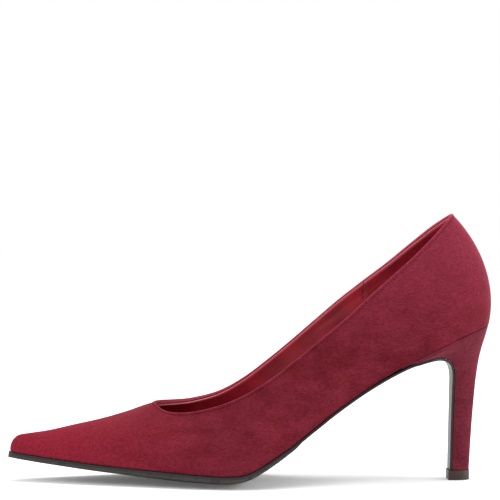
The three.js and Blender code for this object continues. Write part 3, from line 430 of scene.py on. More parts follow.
def goat_suede(name, dark, middle, light, toe):
    material, tree, at = new_material(name)
    patches = noise(tree, at, PATCH, 3, 0.6)
    swept = node(tree, "Mapping", {"Vector": at, "Rotation": (0.2, 1.0, 0.3), "Scale": (0.55, 1, 1)})
    brushed = noise(tree, swept.outputs[0], STROKE, 4)
    combed = node(tree, "Mapping", {"Vector": at, "Rotation": (0, 0.15, 0), "Scale": (0.5, 1, 1)})
    nap = noise(tree, combed.outputs[0], NAP, 3, 0.7)
    spread = (0.35, 0.65)
    wide = ranged(tree, patches, start=spread)
    strokes = ranged(tree, brushed, start=spread)
    grain = ranged(tree, nap, start=spread)
    place = node(tree, "SeparateXYZ", {"Vector": at})
    # Towards the toes the suede is painted lighter and redder: partly its own tone, partly a painted
    # highlight.
    toes = ranged(tree, place.outputs["X"], start=(-0.02, -0.1))
    # Higher up the back the suede is painted lighter: a painted highlight where the top light falls.
    heel = ranged(tree, place.outputs["Z"], start=(0.07, 0.12))
    edge = node(tree, "Attribute", {}, attribute_name="finish_and_highlight")
    tone = blend(tree, wide, linear(dark), linear(middle))
    # Strokes lift the tone. Towards the toes it is lighter and redder, partly its own tone and partly a
    # painted highlight;
    # higher up the back it is lighter, a painted highlight; the folded edge is rubbed and carries a
    # painted highlight.
    for where, strength, colour in (
        (strokes, 0.35, light), (toes, 0.75, toe),
        (heel, 0.7, light), (edge.outputs["Fac"], 0.25, RUBBED_EDGE_HIGHLIGHT),
    ):
        share = times(tree, where, strength)
        tone = blend(tree, share, tone, linear(colour))
    shade = ranged(tree, grain, end=(0.76, 1.24))
    coloured = blend(tree, 1.0, tone, shade, "MULTIPLY")
    soft = raised(tree, brushed, 0.5, 0.0009)
    fuzz = raised(tree, nap, 0.6, 0.00035, soft)
    return finished(material, {
        "Base Color": coloured, "Roughness": 0.95, "IOR": 1.4, "Specular IOR Level": 0.12,
        "Sheen Weight": 0.35, "Sheen Roughness": 0.3, "Sheen Tint": linear("e07a8a"),
        "Normal": fuzz,
    })


upper_suede = goat_suede("goat suede, dyed crimson", "53111b", "5b141f", "762536", "7e1b2b")

# The dense topline as a line in space, for everything that follows the edge.
EDGE_DIV = 40
edge_stations = [("outer", k / EDGE_DIV) for k in range(THROAT * EDGE_DIV, 0, -1)]
edge_stations += [("inner", k / EDGE_DIV) for k in range(THROAT * EDGE_DIV)]
edge_line = np.array([column_at(side, s)[0][-1] for side, s in edge_stations])
edge_tree = kdtree.KDTree(len(edge_line))
for k, p in enumerate(edge_line):
    edge_tree.insert(p, k)
edge_tree.balance()
# The folded edge swells by 0.3 mm and the stitches pull it in by 0.12 mm. One soft crease, 0.35 mm
# deep, runs down the outer side of the back.
STITCH_INSET, PUFF, PULL = 1.7, 0.3, 0.12
CREASE_DEPTH, CREASE_WIDTH, CREASE_FADE = 0.35, 1.3, 5
CREASE_TOP, CREASE_FOOT = np.array([101.0, -12.0, 131.5]), np.array([113.5, -12.0, 119.5])


def puffed(p, normal):
    d = edge_tree.find(p)[2]
    swell = PUFF * (1 - ease((d - 0.9) / 0.9)) * ease(d / 0.5)
    pull = PULL * math.exp(-(((d - STITCH_INSET) / 0.55) ** 2))
    crease, fold = CREASE_FOOT - CREASE_TOP, 0
    if p[1] < -2:
        length = np.linalg.norm(crease)
        t = (p - CREASE_TOP) @ crease / length
        across = np.linalg.norm((p - CREASE_TOP - t * crease / length)[[0, 2]])
        ends = ease(t / CREASE_FADE) * ease((length - t) / CREASE_FADE)
        fold = CREASE_DEPTH * math.exp(-((across / CREASE_WIDTH) ** 2)) * ends
    return p + normal * (swell - pull - fold)


# The turned edge doubles the suede down to 1.9 mm.
TURNED, TURNED_DEPTH = 0.85, 1.9


def suede_column(side, s):
    pairs = layer(side, s, (lambda s, v: 0.0, lambda s, v: SUEDE))
    across = column_at(side, s)[1]
    margin = len(pairs) - len(across)
    row = pairs[:margin]
    for (outside, inside), out in zip(pairs[margin:], across):
        d = edge_tree.find(outside)[2]
        turned = TURNED * (1 - ease((d - TURNED_DEPTH) / 0.5))
        # Along the folded edge the suede is painted lighter: rubbed nap with a painted highlight.
        edge_highlight = float(1 - ease((d - 0.1) / 0.6))
        row.append((puffed(outside, out), inside - out * turned, edge_highlight))
    return row


upper = plate("suede_upper_shell", [suede_column(side, s) for side, s in columns], rim=0.55)
upper.data.materials.append(upper_suede)
fit(upper, "upper_suede", "suede_upper")

# ---------------------------------------------------------------- topline stitches
# One row of polyester lockstitch holds the folded edge down, 1.7 mm below it. Only the thread
# between two holes shows, 62% of the pitch; each end dives into the suede.
PITCH, THREAD = 1.7, 0.38
SHOWN, SINK, DIVE = 0.62, 0.06, 0.55
# Rings of one stitch: place along it and share of its thickness.
RINGS = [(-0.5, 0.1), (-0.42, 0.62), (-0.22, 0.95), (0, 1), (0.22, 0.95), (0.42, 0.62), (0.5, 0.1)]
ROUND = 8


def stitch_row(name, path, normals_out, pitch, thickness):
    """Separate stitches along a path of close points, each a thin pod."""
    run = np.concatenate([[0], np.cumsum(np.linalg.norm(np.diff(path, axis=0), axis=1))])
    count = int(run[-1] / pitch)
    points, faces = [], []

    def read(table, d):
        return np.array([np.interp(d, run, table[:, c]) for c in range(3)])

    for k in range(count):
        d = (k + 0.5) * run[-1] / count
        centre, along = read(path, d), read(path, d + 0.4) - read(path, d - 0.4)
        along /= np.linalg.norm(along)
        side_way = np.cross(read(normals_out, d), along)
        side_way /= np.linalg.norm(side_way)
        up = np.cross(along, side_way)
        first = len(points)
        for t, r in RINGS:
            middle = centre + along * t * pitch * SHOWN - up * (SINK + thickness * DIVE * (2 * t) ** 4)
            for c in range(ROUND):
                turn = c * 2 * math.pi / ROUND
                off = side_way * math.cos(turn) + up * math.sin(turn)
                points.append(middle + off * r * thickness / 2)
        for i in range(len(RINGS) - 1):
            low = first + ROUND * i
            for c in range(ROUND):
                n = (c + 1) % ROUND
                faces.append([low + c, low + n, low + ROUND + n, low + ROUND + c])
        last = first + ROUND * (len(RINGS) - 1)
        faces.append([first + c for c in reversed(range(ROUND))])
        faces.append([last + c for c in range(ROUND)])
    return add_mesh(name, points, faces)


# Bonded polyester sewing thread, twisted from three plies, duller and darker than the suede. The
# plies are 0.5 mm apart and are drawn at 0.94 mm. A wave texture repeats every 2 pi / 20 of its
# unit, which WAVE puts right.
PLY, WAVE = 0.94, 2 * math.pi / 20


def twisted_thread(name, colour, dark):
    material, tree, at = new_material(name)
    turned = node(tree, "Mapping", {"Vector": at, "Rotation": (0.5, 0.7, 0.4)})
    plies = node(tree, "TexWave", {
        "Vector": turned.outputs[0], "Scale": per_mm(PLY) * WAVE, "Distortion": 1.5,
    })
    colours = blend(tree, plies.outputs[1], linear(dark), linear(colour))
    bump = raised(tree, plies.outputs[1], 0.5, 0.00008)
    return finished(material, {
        "Base Color": colours, "Roughness": 0.75, "Specular IOR Level": 0.1,
        "Normal": bump,
    })


thread = twisted_thread("bonded polyester thread, wine", "430913", "26050b")
stitch_path, stitch_out = [], []
for k, (side, s) in enumerate(edge_stations):
    outward = column_at(side, s)[1][-1]
    along = edge_line[(k + 1) % len(edge_line)] - edge_line[k - 1]
    up = np.cross(outward, along)
    up /= np.linalg.norm(up)
    stitch_path.append(edge_line[k] - up * STITCH_INSET)
    stitch_out.append(outward)
stitch_path, stitch_out = np.array(stitch_path), np.array(stitch_out)
# Each point is moved on to the skin, along the mean normal of the four points nearest to it.
flat_skin, flat_out = skin.reshape(-1, 3), normals.reshape(-1, 3)
skin_tree = kdtree.KDTree(len(flat_skin))
for k, p in enumerate(flat_skin):
    skin_tree.insert(p, k)
skin_tree.balance()
for k, p in enumerate(stitch_path):
    near = skin_tree.find_n(p, 4)
    out = sum(flat_out[index] / (distance + 0.05) ** 2 for _, index, distance in near)
    out /= np.linalg.norm(out)
    stitch_path[k] = p - out * ((p - flat_skin[near[0][1]]) @ out)
    stitch_out[k] = out
stitches = stitch_row("topline_stitches", stitch_path, stitch_out, PITCH, THREAD)
stitches.data.materials.append(thread)
fit(stitches, "stitching_thread", "topline_thread")

# ---------------------------------------------------------------- topline tape
# A woven nylon tape, cemented inside the fold of the topline so that the edge cannot stretch. The
# toe puff and the heel counter are 1 mm thick and skived to a thin edge; the lining covers them all.
STIFFENER, TAPE, LINING = 1.0, 0.3, 0.8
COUNTER_FROM, COUNTER_TOP, PUFF_FROM, THIN, SKIVED = 7, 0.84, 18.7, 0.35, 1.5
TAPE_DROP, TAPE_STEPS = 3, 6


def stiff(s, v):
    """How much of the toe puff or the heel counter lies in the wall, from 0 to 1."""
    def ramp(d):
        return np.where(d < 1, mix(1, THIN, np.clip(d, 0, 1)), mix(THIN, 0, np.clip(d - 1, 0, 1)))

    counter = np.minimum(ramp((s - COUNTER_FROM) / SKIVED + 1), ramp((v - COUNTER_TOP) / 0.12 + 1))
    return np.maximum(counter, ramp((PUFF_FROM - s) / SKIVED + 1))


def lining_depth(s, v):
    """How deep under the skin the lining starts; lining_inner is where it ends."""
    stiffener = STIFFENER * stiff(s, v) + GAP * np.clip(stiff(s, v) / THIN, 0, 1)
    taped = ease((v - 0.6) / 0.12) * (1 - ease(s - THROAT))
    return SUEDE + GAP + np.maximum(stiffener, (TAPE + GAP) * taped)


def lining_inner(s, v):
    return lining_depth(s, v) + LINING


def signed(first, last):
    """(side, station) pairs over signed stations, negative on the outer side."""
    n = max(1, round((last - first) * DIV))
    return [("outer" if r < 0 else "inner", abs(r)) for r in np.linspace(first, last, n + 1)]


tape_faces = (lambda s, v: SUEDE + GAP, lambda s, v: SUEDE + GAP + TAPE)
tape = plate("topline_tape_band", [
    layer(side, s, tape_faces, drop=TAPE_DROP, low=COUNTER_TOP - 0.02, count=TAPE_STEPS)
    for side, s in signed(-THROAT, THROAT)
])


# Nylon, woven plain from off-white threads: matt, with small squares. The threads are 0.6 mm
# apart and are drawn at 1.13 mm.
def woven(name, warp, weft, pitch):
    material, tree, at = new_material(name)
    waves = [
        node(tree, "TexWave", {
            "Vector": at, "Scale": per_mm(pitch) * WAVE, "Distortion": 0.4,
        }, bands_direction=way)
        for way in ("X", "Z")
    ]
    crossing = times(tree, waves[0].outputs[1], waves[1].outputs[1])
    colours = blend(tree, crossing, linear(weft), linear(warp))
    bump = raised(tree, crossing, 0.6, 0.0002)
    return finished(material, {"Base Color": colours, "Roughness": 0.8, "Normal": bump})


tape.data.materials.append(woven("woven nylon tape, off-white", "ddd6ca", "a79f92", 1.13))
fit(tape, "topline_tape", "topline_tape")

# ---------------------------------------------------------------- linings
# Smooth kid leather, in a vamp lining and a quarter lining that meet in a seam on each side,
# cemented to the suede. Their top edge stops 0.6 mm under the folded topline, and carries a painted
# highlight along its rim.
SEAM, EDGE_DROP, LINING_RIM = 5, 0.6, 0.3
# The linings are trimmed 0.3 mm apart at the seam, given here in stations.
SEAM_GAP = 0.0108


def lining_rows(first, last):
    rows = []
    for side, s in signed(first, last):
        drop = EDGE_DROP * float(1 - ease((s - THROAT) / 0.5))
        pairs = layer(side, s, (lining_depth, lining_inner), drop=drop)
        # Shares of the painted highlight along the top rim of the lining.
        edge_highlight = [float(1 - ease((edge_tree.find(inside)[2] - 2.95) / 0.5)) for _, inside in pairs]
        rows.append([(outside, inside, share) for (outside, inside), share in zip(pairs, edge_highlight)])
    return rows


vamp_lining = plate(
    "vamp_lining_leather",
    lining_rows(-TOE, -SEAM - SEAM_GAP), lining_rows(SEAM + SEAM_GAP, TOE), rim=LINING_RIM,
)
quarter_lining = plate(
    "quarter_lining_leather", lining_rows(-SEAM + SEAM_GAP, SEAM - SEAM_GAP), rim=LINING_RIM,
)


# Kid leather, aniline dyed and lightly plated: fine pores, a soft gloss, a tone that drifts over
# 18 mm, and 4 mm wrinkles. Its pores are 0.3 mm apart and are drawn at 1.1 mm or more.
# The colour of the painted highlight on the top rim of the lining.
LINING_RIM_HIGHLIGHT = "d9707c"


def kid_leather(name, dark, colour, pores, roughness, coat):
    material, tree, at = new_material(name)
    tone = noise(tree, at, 18, 3)
    cells = node(tree, "TexVoronoi", {"Vector": at, "Scale": per_mm(pores), "Randomness": 1.0})
    wrinkle = noise(tree, at, 4, 5, 0.65)
    spread = ranged(tree, tone, start=(0.35, 0.65))
    colours = blend(tree, spread, linear(dark), linear(colour))
    # The top rim is painted lighter by the share kept on the piece: a painted highlight.
    edge = node(tree, "Attribute", {}, attribute_name="finish_and_highlight")
    edge_highlight = times(tree, edge.outputs["Fac"], 0.7)
    edged = blend(tree, edge_highlight, colours, linear(LINING_RIM_HIGHLIGHT))
    fold = raised(tree, wrinkle, 0.25, 0.0006)
    pore = raised(tree, cells.outputs[0], 0.3, 0.0001, fold)
    gloss = ranged(tree, wrinkle, end=(roughness - 0.08, roughness + 0.12))
    return finished(material, {
        "Base Color": edged, "Roughness": gloss, "Specular IOR Level": 0.25,
        "Coat Weight": coat, "Coat Roughness": 0.3, "Normal": pore,
    })


lining_leather = kid_leather("kid lining leather, crimson", "781220", "951b2a", 1.1, 0.45, 0.06)
for piece, cad_node in ((vamp_lining, "vamp_lining"), (quarter_lining, "quarter_lining")):
    piece.data.materials.append(lining_leather)
    fit(piece, "lining_leather", cad_node)

# The two seams of the lining are sewn with a lighter thread, from the insock up.
SEAM_PITCH, SEAM_THREAD, SEAM_FROM, SEAM_DROP, SEAM_STEPS = 1.9, 0.4, 10, 3.2, 200
seam_thread = twisted_thread("bonded polyester thread, crimson", "a8323e", "7a1c28")


def seam_line(side, s):
    depth = lambda s, v: lining_inner(s, v) + 0.1
    return offset_line(side, s, depth, foot=SEAM_FROM, drop=SEAM_DROP, count=SEAM_STEPS)


for side, sign in SIDES.items():
    path, beside = seam_line(side, SEAM - 0.16), seam_line(side, SEAM + 0.16)
    inward = np.cross(np.gradient(path, axis=0), beside - path) * -sign
    inward /= np.linalg.norm(inward, axis=1)[:, None]
    if inward[SEAM_STEPS // 2] @ column_at(side, SEAM)[1][STEPS // 2] > 0:
        inward = -inward
    seam = stitch_row(f"lining_seam_stitches_{side}", path, inward, SEAM_PITCH, SEAM_THREAD)
    seam.data.materials.append(seam_thread)
    fit(seam, "stitching_thread", f"lining_seam_thread_{side}")

# ---------------------------------------------------------------- insock and cushions
# Two pads of polyurethane foam are cemented on the insole board, under the heel and the ball. The
# insock, of the same leather as the lining, is cemented over them from the heel to the toe.
INSOLE, SOCK, HEEL_CUSHION, TOE_CUSHION, SKIVED_FOAM = 2.0, 0.9, 2.4, 1.4, 0.5
# Stations where the pads start and end, and where each starts to thin out.
HEEL_FOAM, TOE_FOAM, HEEL_THINS, TOE_THINS = (0, 6), (9, 18), 3.5, (11, 16)
SOCK_END, SOCK_INSET, FOAM_INSET, SOCK_LANES, FOAM_LANES = 19.5, 0.12, 1.2, 24, 12


def board_to(s):
    return float(lining_inner(s, 0.0)) + GAP + INSOLE


def fade(s, start, end):
    return float(1 - ease((s - start) / (end - start)))


def heel_foam(s):
    return mix(SKIVED_FOAM, HEEL_CUSHION, fade(s, HEEL_THINS, HEEL_FOAM[1]))


def toe_foam(s):
    full = fade(s, TOE_THINS[1], TOE_FOAM[1]) * (1 - fade(s, TOE_FOAM[0], TOE_THINS[0]))
    return mix(SKIVED_FOAM, TOE_CUSHION, full)


def sock_from(s):
    """Height of the underside of the insock, which eases down past the end of each pad."""
    heel = (heel_foam(s) + GAP) * fade(s, HEEL_FOAM[1], HEEL_FOAM[1] + 1)
    toe = (toe_foam(s) + GAP) * fade(s, TOE_FOAM[1], TOE_FOAM[1] + 1)
    toe *= 1 - fade(s, TOE_FOAM[0] - 1, TOE_FOAM[0] - 0.5)
    return board_to(s) + GAP + max(heel, toe)


def under(p, height):
    """The plan position whose point at this height over the bottom is p."""
    x, y = p[:2]
    for _ in range(4):
        x, y = p[:2] - height * floor_at(x, y)[1][:2]
    return np.array([x, y])


def slab_pairs(s, low, high, inset, lanes):
    """[Top point, bottom point] pairs from lining to lining between two heights over the bottom."""
    depth = lambda s, v: lining_inner(s, v) + inset
    faces = []
    for height in (high, low):
        feet = [offset_line(side, s, depth, foot=height, count=1)[0] for side in SIDES]
        ends = [under(foot, height) for foot in feet]
        faces.append([over(*mix(*ends, k / lanes), height) for k in range(lanes + 1)])
    return list(zip(*faces))


insock = plate("insock_leather", [
    slab_pairs(s, sock_from(s), sock_from(s) + SOCK, SOCK_INSET, SOCK_LANES)
    for s in np.linspace(0, SOCK_END, int(SOCK_END * DIV) + 1)
], rim=0.2)
insock.data.materials.append(
    kid_leather("kid insock leather, crimson", "681220", "801826", 1.3, 0.5, 0.05)
)
fit(insock, "insock_leather", "insock")


# Polyurethane foam, cut from a sheet: matt and off-white. Its open cells are about 0.5 mm across
# and are drawn at 0.7 mm.
def open_foam():
    material, tree, at = new_material("polyurethane foam, cream")
    cells = node(tree, "TexVoronoi", {"Vector": at, "Scale": per_mm(0.7)})
    colours = blend(tree, cells.outputs[0], linear("cdbf9f"), linear("efe7d2"))
    bump = raised(tree, cells.outputs[0], 0.6, 0.0002)
    return finished(material, {"Base Color": colours, "Roughness": 0.95, "Normal": bump})


foam = open_foam()
for cad_node, (first, last), thickness in (
    ("heel_cushion", HEEL_FOAM, heel_foam), ("toe_cushion", TOE_FOAM, toe_foam),
):
    rows = []
    for s in np.linspace(first, last, (last - first) * DIV + 1):
        low = board_to(s) + GAP
        row = slab_pairs(s, low, low + thickness(s), FOAM_INSET, FOAM_LANES)
        # The top is crowned: it comes down by a third of the thickness at each edge.
        falls = [0.35 * abs(2 * k / FOAM_LANES - 1) ** 5 for k in range(len(row))]
        rows.append([(mix(top, bottom, fall), bottom) for (top, bottom), fall in zip(row, falls)])
    pad = plate(f"{cad_node}_pad", rows, rim=0.15)
    pad.data.materials.append(foam)
    fit(pad, "cushion_foam", cad_node)

# ---------------------------------------------------------------- heel cover
# Suede from the same skin as the upper, 0.9 mm thick, wrapped round the heel and cemented, with
# its edges meeting under the leather that runs down the breast of the heel.
# Sections from its foot to the seat: breast x and z, back x and z, half the width.
SECTIONS = [np.array(row) for row in (
    (104.2, 5.3, 113.4, 5.3, 6.3), (104.7, 28, 114.8, 28, 6.6), (105.2, 46, 116.4, 47, 7.3),
    (105.3, 55, 117.5, 56.5, 8.8), (104, 60.2, 118.7, 63.8, 11.5), (100.8, 63.2, 120.2, 69.9, 15.5),
    (96, 64.3, 121.5, 74.1, 19.5), (90.4, 63.5, 122.5, 77.5, 22.5), (83.3, 61.6, 123.1, 79.8, 24.8),
    (77, 60.1, 123.4, 80.9, 26.0),
)]
SEAT, COVER, COVER_RIM, LIFT_HEIGHT = len(SECTIONS) - 1, 0.9, 0.25, 5.0
HEEL_BASE = LIFT_HEIGHT + GAP
# The wings reach forward to station 4.5. The feather line is at most 26 mm from the middle line
# there, and each section narrows it to its own half width.
WINGS, HEEL_BACK_X, SEAT_HALF, SEAT_GAP = 4.5, 123.6, 26, 1.5 * GAP
FLANK, ROWS = 27, 72
wing_x = {side: feather(side, WINGS)[0][0] for side in SIDES}


def heel_point(side, f, t):
    """A point of the heel: f runs from its back (0) to its breast (1), t from its foot to the seat."""
    front_x, front_z, back_x, back_z, half = spline(SECTIONS, t)
    foot = feather(side, WINGS * f)[0]
    a = (HEEL_BACK_X - foot[0]) / (HEEL_BACK_X - wing_x[side])
    x, y, z = mix(back_x, front_x, a), foot[1] / SEAT_HALF * half, mix(back_z, front_z, a)
    seat_z = floor_at(x, y)[0][2] - SEAT_GAP
    return np.array([x, y, mix(max(z, HEEL_BASE), seat_z, np.clip(t - SEAT + 1, 0, 1))])


# Columns run from the breast along the outer flank, round the back, and along the inner flank.
heel_grid = np.array([
    [
        heel_point("outer" if c < 0 else "inner", abs(c) / FLANK, r / ROWS * SEAT)
        for r in range(ROWS + 1)
    ]
    for c in range(-FLANK, FLANK + 1)
])
heel_out = np.cross(np.gradient(heel_grid, axis=0), np.gradient(heel_grid, axis=1))
heel_out /= np.linalg.norm(heel_out, axis=2)[:, :, None]
cover_rows = []
for column, outs in zip(heel_grid, heel_out):
    row = []
    for r, (p, out) in enumerate(zip(column, outs)):
        q = p - out * COVER
        if r == 0:
            q[2] = HEEL_BASE
        if r == ROWS:
            q[2] = floor_at(q[0], q[1])[0][2] - SEAT_GAP
        row.append((p, q))
    cover_rows.append(row)
cover = plate("heel_cover_suede", cover_rows, rim=COVER_RIM)
cover.data.materials.append(
    goat_suede("goat suede, heel cover", "501621", "5e1e2a", "73293a", "63202c")
)
fit(cover, "upper_suede", "heel_cover")

# ---------------------------------------------------------------- leather sole
# One thin vegetable-tanned sole, burnished dark brown and waxed. It is cemented from the toe along
# the waist and bent on down the breast of the heel; its trimmed edges are inked nearly black.
LONG_SOLE, SOLE_LEDGE, WAIST_END, SOLE_RIM = 1.1, 0.7, 5, 0.3
# Rows to a station and lanes across; the flap down the breast is 0.3 mm wider on each side.
SOLE_DIV, LANES, FLAP_WIDER = 6, 14, 0.3


def ledge(side, s):
    """The edge of the sole, which stands 0.7 mm out from the feather line."""
    foot, out, _ = feather(side, s)
    foot = foot + out * SOLE_LEDGE
    return over(foot[0], foot[1], -GAP)


waist = [
    [ledge(side, s) for side in SIDES]
    for s in np.linspace(TOE, WAIST_END, (TOE - WAIST_END) * SOLE_DIV + 1)
]
flap = [
    [heel_point(side, 1, t) + np.array([0, sign * FLAP_WIDER, 0]) for side, sign in SIDES.items()]
    for t in np.arange(SEAT - 0.6, 0.15, -0.1)
]
sole_rows = waist + flap + [[heel_point(side, 1, 0) for side in SIDES]]
middles = [(a + b) / 2 for a, b in sole_rows]
sole_grid = []
for k, (a, b) in enumerate(sole_rows):
    step = middles[min(k + 1, len(middles) - 1)] - middles[max(k - 1, 0)]
    away = np.array([step[2], 0, -step[0]]) / math.hypot(step[0], step[2])
    row = []
    for lane in range(LANES + 1):
        p = mix(a, b, lane / LANES)
        if k < len(waist):
            ground, normal = floor_at(p[0], p[1])
            top, down = over(p[0], p[1], -GAP), -normal
        else:
            top, down = p + away * GAP * min(1, (k - len(waist) + 1) / 4), away
        bottom = top + down * LONG_SOLE
        if k == len(sole_rows) - 1:
            top[2] = bottom[2] = HEEL_BASE
        row.append((bottom, top, 1.0 if lane in (0, LANES) else 0.0))
    sole_grid.append(row)
# The bend from the waist down the breast is drawn out evenly over six rows on each side of it.
BEND, PASSES = 6, 12
for _ in range(PASSES):
    before = [list(row) for row in sole_grid]
    for k in range(len(waist) - BEND, len(waist) + BEND):
        for lane in range(LANES + 1):
            a, b, c = (before[k + step][lane] for step in (-1, 0, 1))
            sole_grid[k][lane] = (*((a[f] + 2 * b[f] + c[f]) / 4 for f in (0, 1)), b[2])
sole = plate("leather_sole_waist", sole_grid, rim=SOLE_RIM)


# Vegetable-tanned leather, burnished: brown through, darker where the wax was rubbed in, with
# faint pull marks along the shoe. Its grain is 0.5 mm and is drawn at 1.2 mm.
def burnished_leather():
    material, tree, at = new_material("vegetable-tanned sole leather, burnished brown")
    stretched = node(tree, "Mapping", {"Vector": at, "Scale": (0.4, 1, 0.7)})
    tone = noise(tree, stretched.outputs[0], 14, 4)
    grain = node(tree, "TexVoronoi", {"Vector": at, "Scale": per_mm(1.2)})
    spread = ranged(tree, tone, start=(0.35, 0.65))
    colours = blend(tree, spread, linear("271c18"), linear("382a24"))
    edge = node(tree, "Attribute", {}, attribute_name="finish_and_highlight")
    inked = blend(tree, edge.outputs["Fac"], colours, linear("120d0c"))
    bump = raised(tree, grain.outputs[0], 0.25, 0.0001)
    return finished(material, {
        "Base Color": inked, "Roughness": 0.45, "Specular IOR Level": 0.3,
        "Coat Weight": 0.08, "Coat Roughness": 0.25, "Normal": bump,
    })


sole.data.materials.append(burnished_leather())
fit(sole, "sole_leather", "leather_sole")

# ---------------------------------------------------------------- rubber tread
# A moulded nitrile rubber forepart, cemented on the leather: a smooth border, a field of fine
# diamonds let in by a third of a millimetre, and a bevelled rear edge across the foot.
TREAD, CROWN, TREAD_RIM = 1.3, 4.8, 0.2
# Stations: where its rear end starts to curve, and that end at the outer edge, middle and inner edge.
ARC_FROM, TREAD_END = 10.5, (8.6, 7.9, 9.7)
BORDER, FIELD_DEPTH, REAR_BAND, REAR_LENGTH, DIAMOND = 3.0, 0.35, 7.0, 22, 3.16
TREAD_TOP = GAP + LONG_SOLE + 0.04


def tread_station(row, k):
    """The station at a share k of the width; a row under 1 lies in the curved rear end."""
    middle = 4 * k * (1 - k)
    bulge = TREAD_END[1] - (TREAD_END[0] + TREAD_END[2]) / 2
    end = mix(TREAD_END[0], TREAD_END[2], k) + middle * bulge
    return row if row > 1 else mix(ARC_FROM, end, row)


def tread_pair(row, k):
    s = tread_station(row, k)
    a, b = ledge("outer", s), ledge("inner", s)
    x, y = mix(a[:2], b[:2], k)
    # It thins towards the toe and the waist, and is crowned under the ball.
    thin = mix(0.9, 1, ease((TOE - s) / 6))
    bevel = 1 if row > 1 else mix(0.5, 1, ease((1 - row) / 0.35))
    behind = ease((s - 8.6) / 2.6)
    ahead = mix(0.12, 1, ease((TOE - s) / 10.5))
    thickness = TREAD * thin * mix(0.6, 1, behind) * bevel
    thickness += CROWN * ahead * behind * (1 - (2 * k - 1) ** 2)
    from_side = min(k, 1 - k) * np.linalg.norm(a - b)
    from_toe = math.hypot(x + 125, y) - 3 if s > 20 else math.inf
    from_rear = (1 - row) * REAR_LENGTH if row <= 1 else math.inf
    field = ease((min(from_side, from_toe) - BORDER) / 0.5) * ease((from_rear - REAR_BAND) / 0.8)
    bottom = over(x, y, -TREAD_TOP - GAP - thickness + FIELD_DEPTH * field * behind)
    if bottom[2] < 0.5:
        bottom[2] = max(FIELD_DEPTH * field, bottom[2])
    return bottom, over(x, y, -TREAD_TOP), float(field)


def lanes_across(s):
    """Shares of the width: close at the border's inner edge, then even."""
    width = max(np.linalg.norm(ledge("outer", s) - ledge("inner", s)), 1e-6)
    steps = enumerate((0.7, 1.8, BORDER, BORDER + 0.25, BORDER + 0.5), 1)
    near = [min(d / width, 0.06 * i) for i, d in steps]
    inside = list(np.linspace(near[-1], 1 - near[-1], 21))
    return [0, *near[:-1], *inside, *[1 - n for n in reversed(near[:-1])], 1]


tread_rows = [*np.linspace(TOE, ARC_FROM, 101), *np.linspace(0, 1, 49)[1:]]
tread = plate("rubber_forepart_tread", [
    [tread_pair(row, k) for k in lanes_across(tread_station(row, 0.5))] for row in tread_rows
], rim=TREAD_RIM)


# Nitrile rubber, moulded and lightly dusted: matt charcoal with a brown cast. The diamonds of the
# let-in field are 0.8 mm on the mould; they are drawn at 3.16 mm.
def nitrile_rubber():
    material, tree, at = new_material("nitrile rubber, charcoal")
    turned = node(tree, "Mapping", {"Vector": at, "Rotation": (0, 0, math.radians(45))})
    waves = [
        node(tree, "TexWave", {
            "Vector": turned.outputs[0], "Scale": per_mm(DIAMOND) * WAVE,
        }, bands_direction=way)
        for way in ("X", "Y")
    ]
    diamonds = times(tree, waves[0].outputs[1], waves[1].outputs[1])
    dust = noise(tree, at, 9, 5)
    grit = noise(tree, at, 0.6, 2)
    dusty = blend(tree, dust, linear("1d1916"), linear("302924"))
    field = node(tree, "Attribute", {}, attribute_name="finish_and_highlight")
    toned = ranged(tree, field.outputs["Fac"], end=(0.8, 1.1))
    colours = blend(tree, 1.0, dusty, toned, "MULTIPLY")
    let_in = times(tree, diamonds, field.outputs["Fac"])
    pressed = raised(tree, let_in, 0.6, 0.0003)
    bump = raised(tree, grit, 0.25, 0.0001, pressed)
    return finished(material, {"Base Color": colours, "Roughness": 0.68, "Normal": bump})


tread.data.materials.append(nitrile_rubber())
fit(tread, "tread_rubber", "rubber_tread")

# ---------------------------------------------------------------- top lift
# An injection-moulded polyurethane D, pressed on the heel with a steel pin. Its bottom edge is
# worn round, and its sides are ground flush after fitting.
LIFT_OVERHANG, LIFT_WIDER, LIFT_RIM, LIFT_ROWS, LIFT_LANES = 0.6, 1.05, 0.45, 32, 8
breast = sole_grid[-1][0][0][0] - LIFT_OVERHANG
lift_sides = []
for side in SIDES:
    edge = [heel_point(side, f, 0) for f in np.linspace(1, 0, LIFT_ROWS + 1)]
    front, back = edge[0][0], edge[-1][0]
    lift_sides.append([
        np.array([mix(LIFT_BACK, breast, (back - x) / (back - front)), y * LIFT_WIDER])
        for x, y, _ in edge
    ])
lift_rows = []
for a, b in zip(*lift_sides):
    row = [mix(a, b, k / LIFT_LANES) for k in range(LIFT_LANES + 1)]
    lift_rows.append([(np.array([*p, LIFT_HEIGHT]), np.array([*p, 0.0])) for p in row])
lift = plate("top_lift_moulded", lift_rows, rim=LIFT_RIM)


# Polyurethane, injection moulded: dense, grey-brown, a low gloss, and scuffs of 3 mm that run
# round it.
def moulded_polyurethane():
    material, tree, at = new_material("polyurethane, moulded, grey-brown")
    scuffs = node(tree, "Mapping", {"Vector": at, "Scale": (1, 1, 3)})
    marks = noise(tree, scuffs.outputs[0], 3, 4)
    grain = noise(tree, at, 0.5, 2)
    colours = blend(tree, marks, linear("2e1d1c"), linear("3d2b29"))
    bump = raised(tree, grain, 0.2, 0.0001)
    return finished(material, {
        "Base Color": colours, "Roughness": 0.5, "Specular IOR Level": 0.3,
        "Normal": bump,
    })


lift.data.materials.append(moulded_polyurethane())
fit(lift, "lift_plastic", "top_lift")

# ---------------------------------------------------------------- hidden parts
# The stiffeners, insole board, cork filler, heel block and steel fittings keep their exact
# machined shapes; each gets the finish of what it is made from.


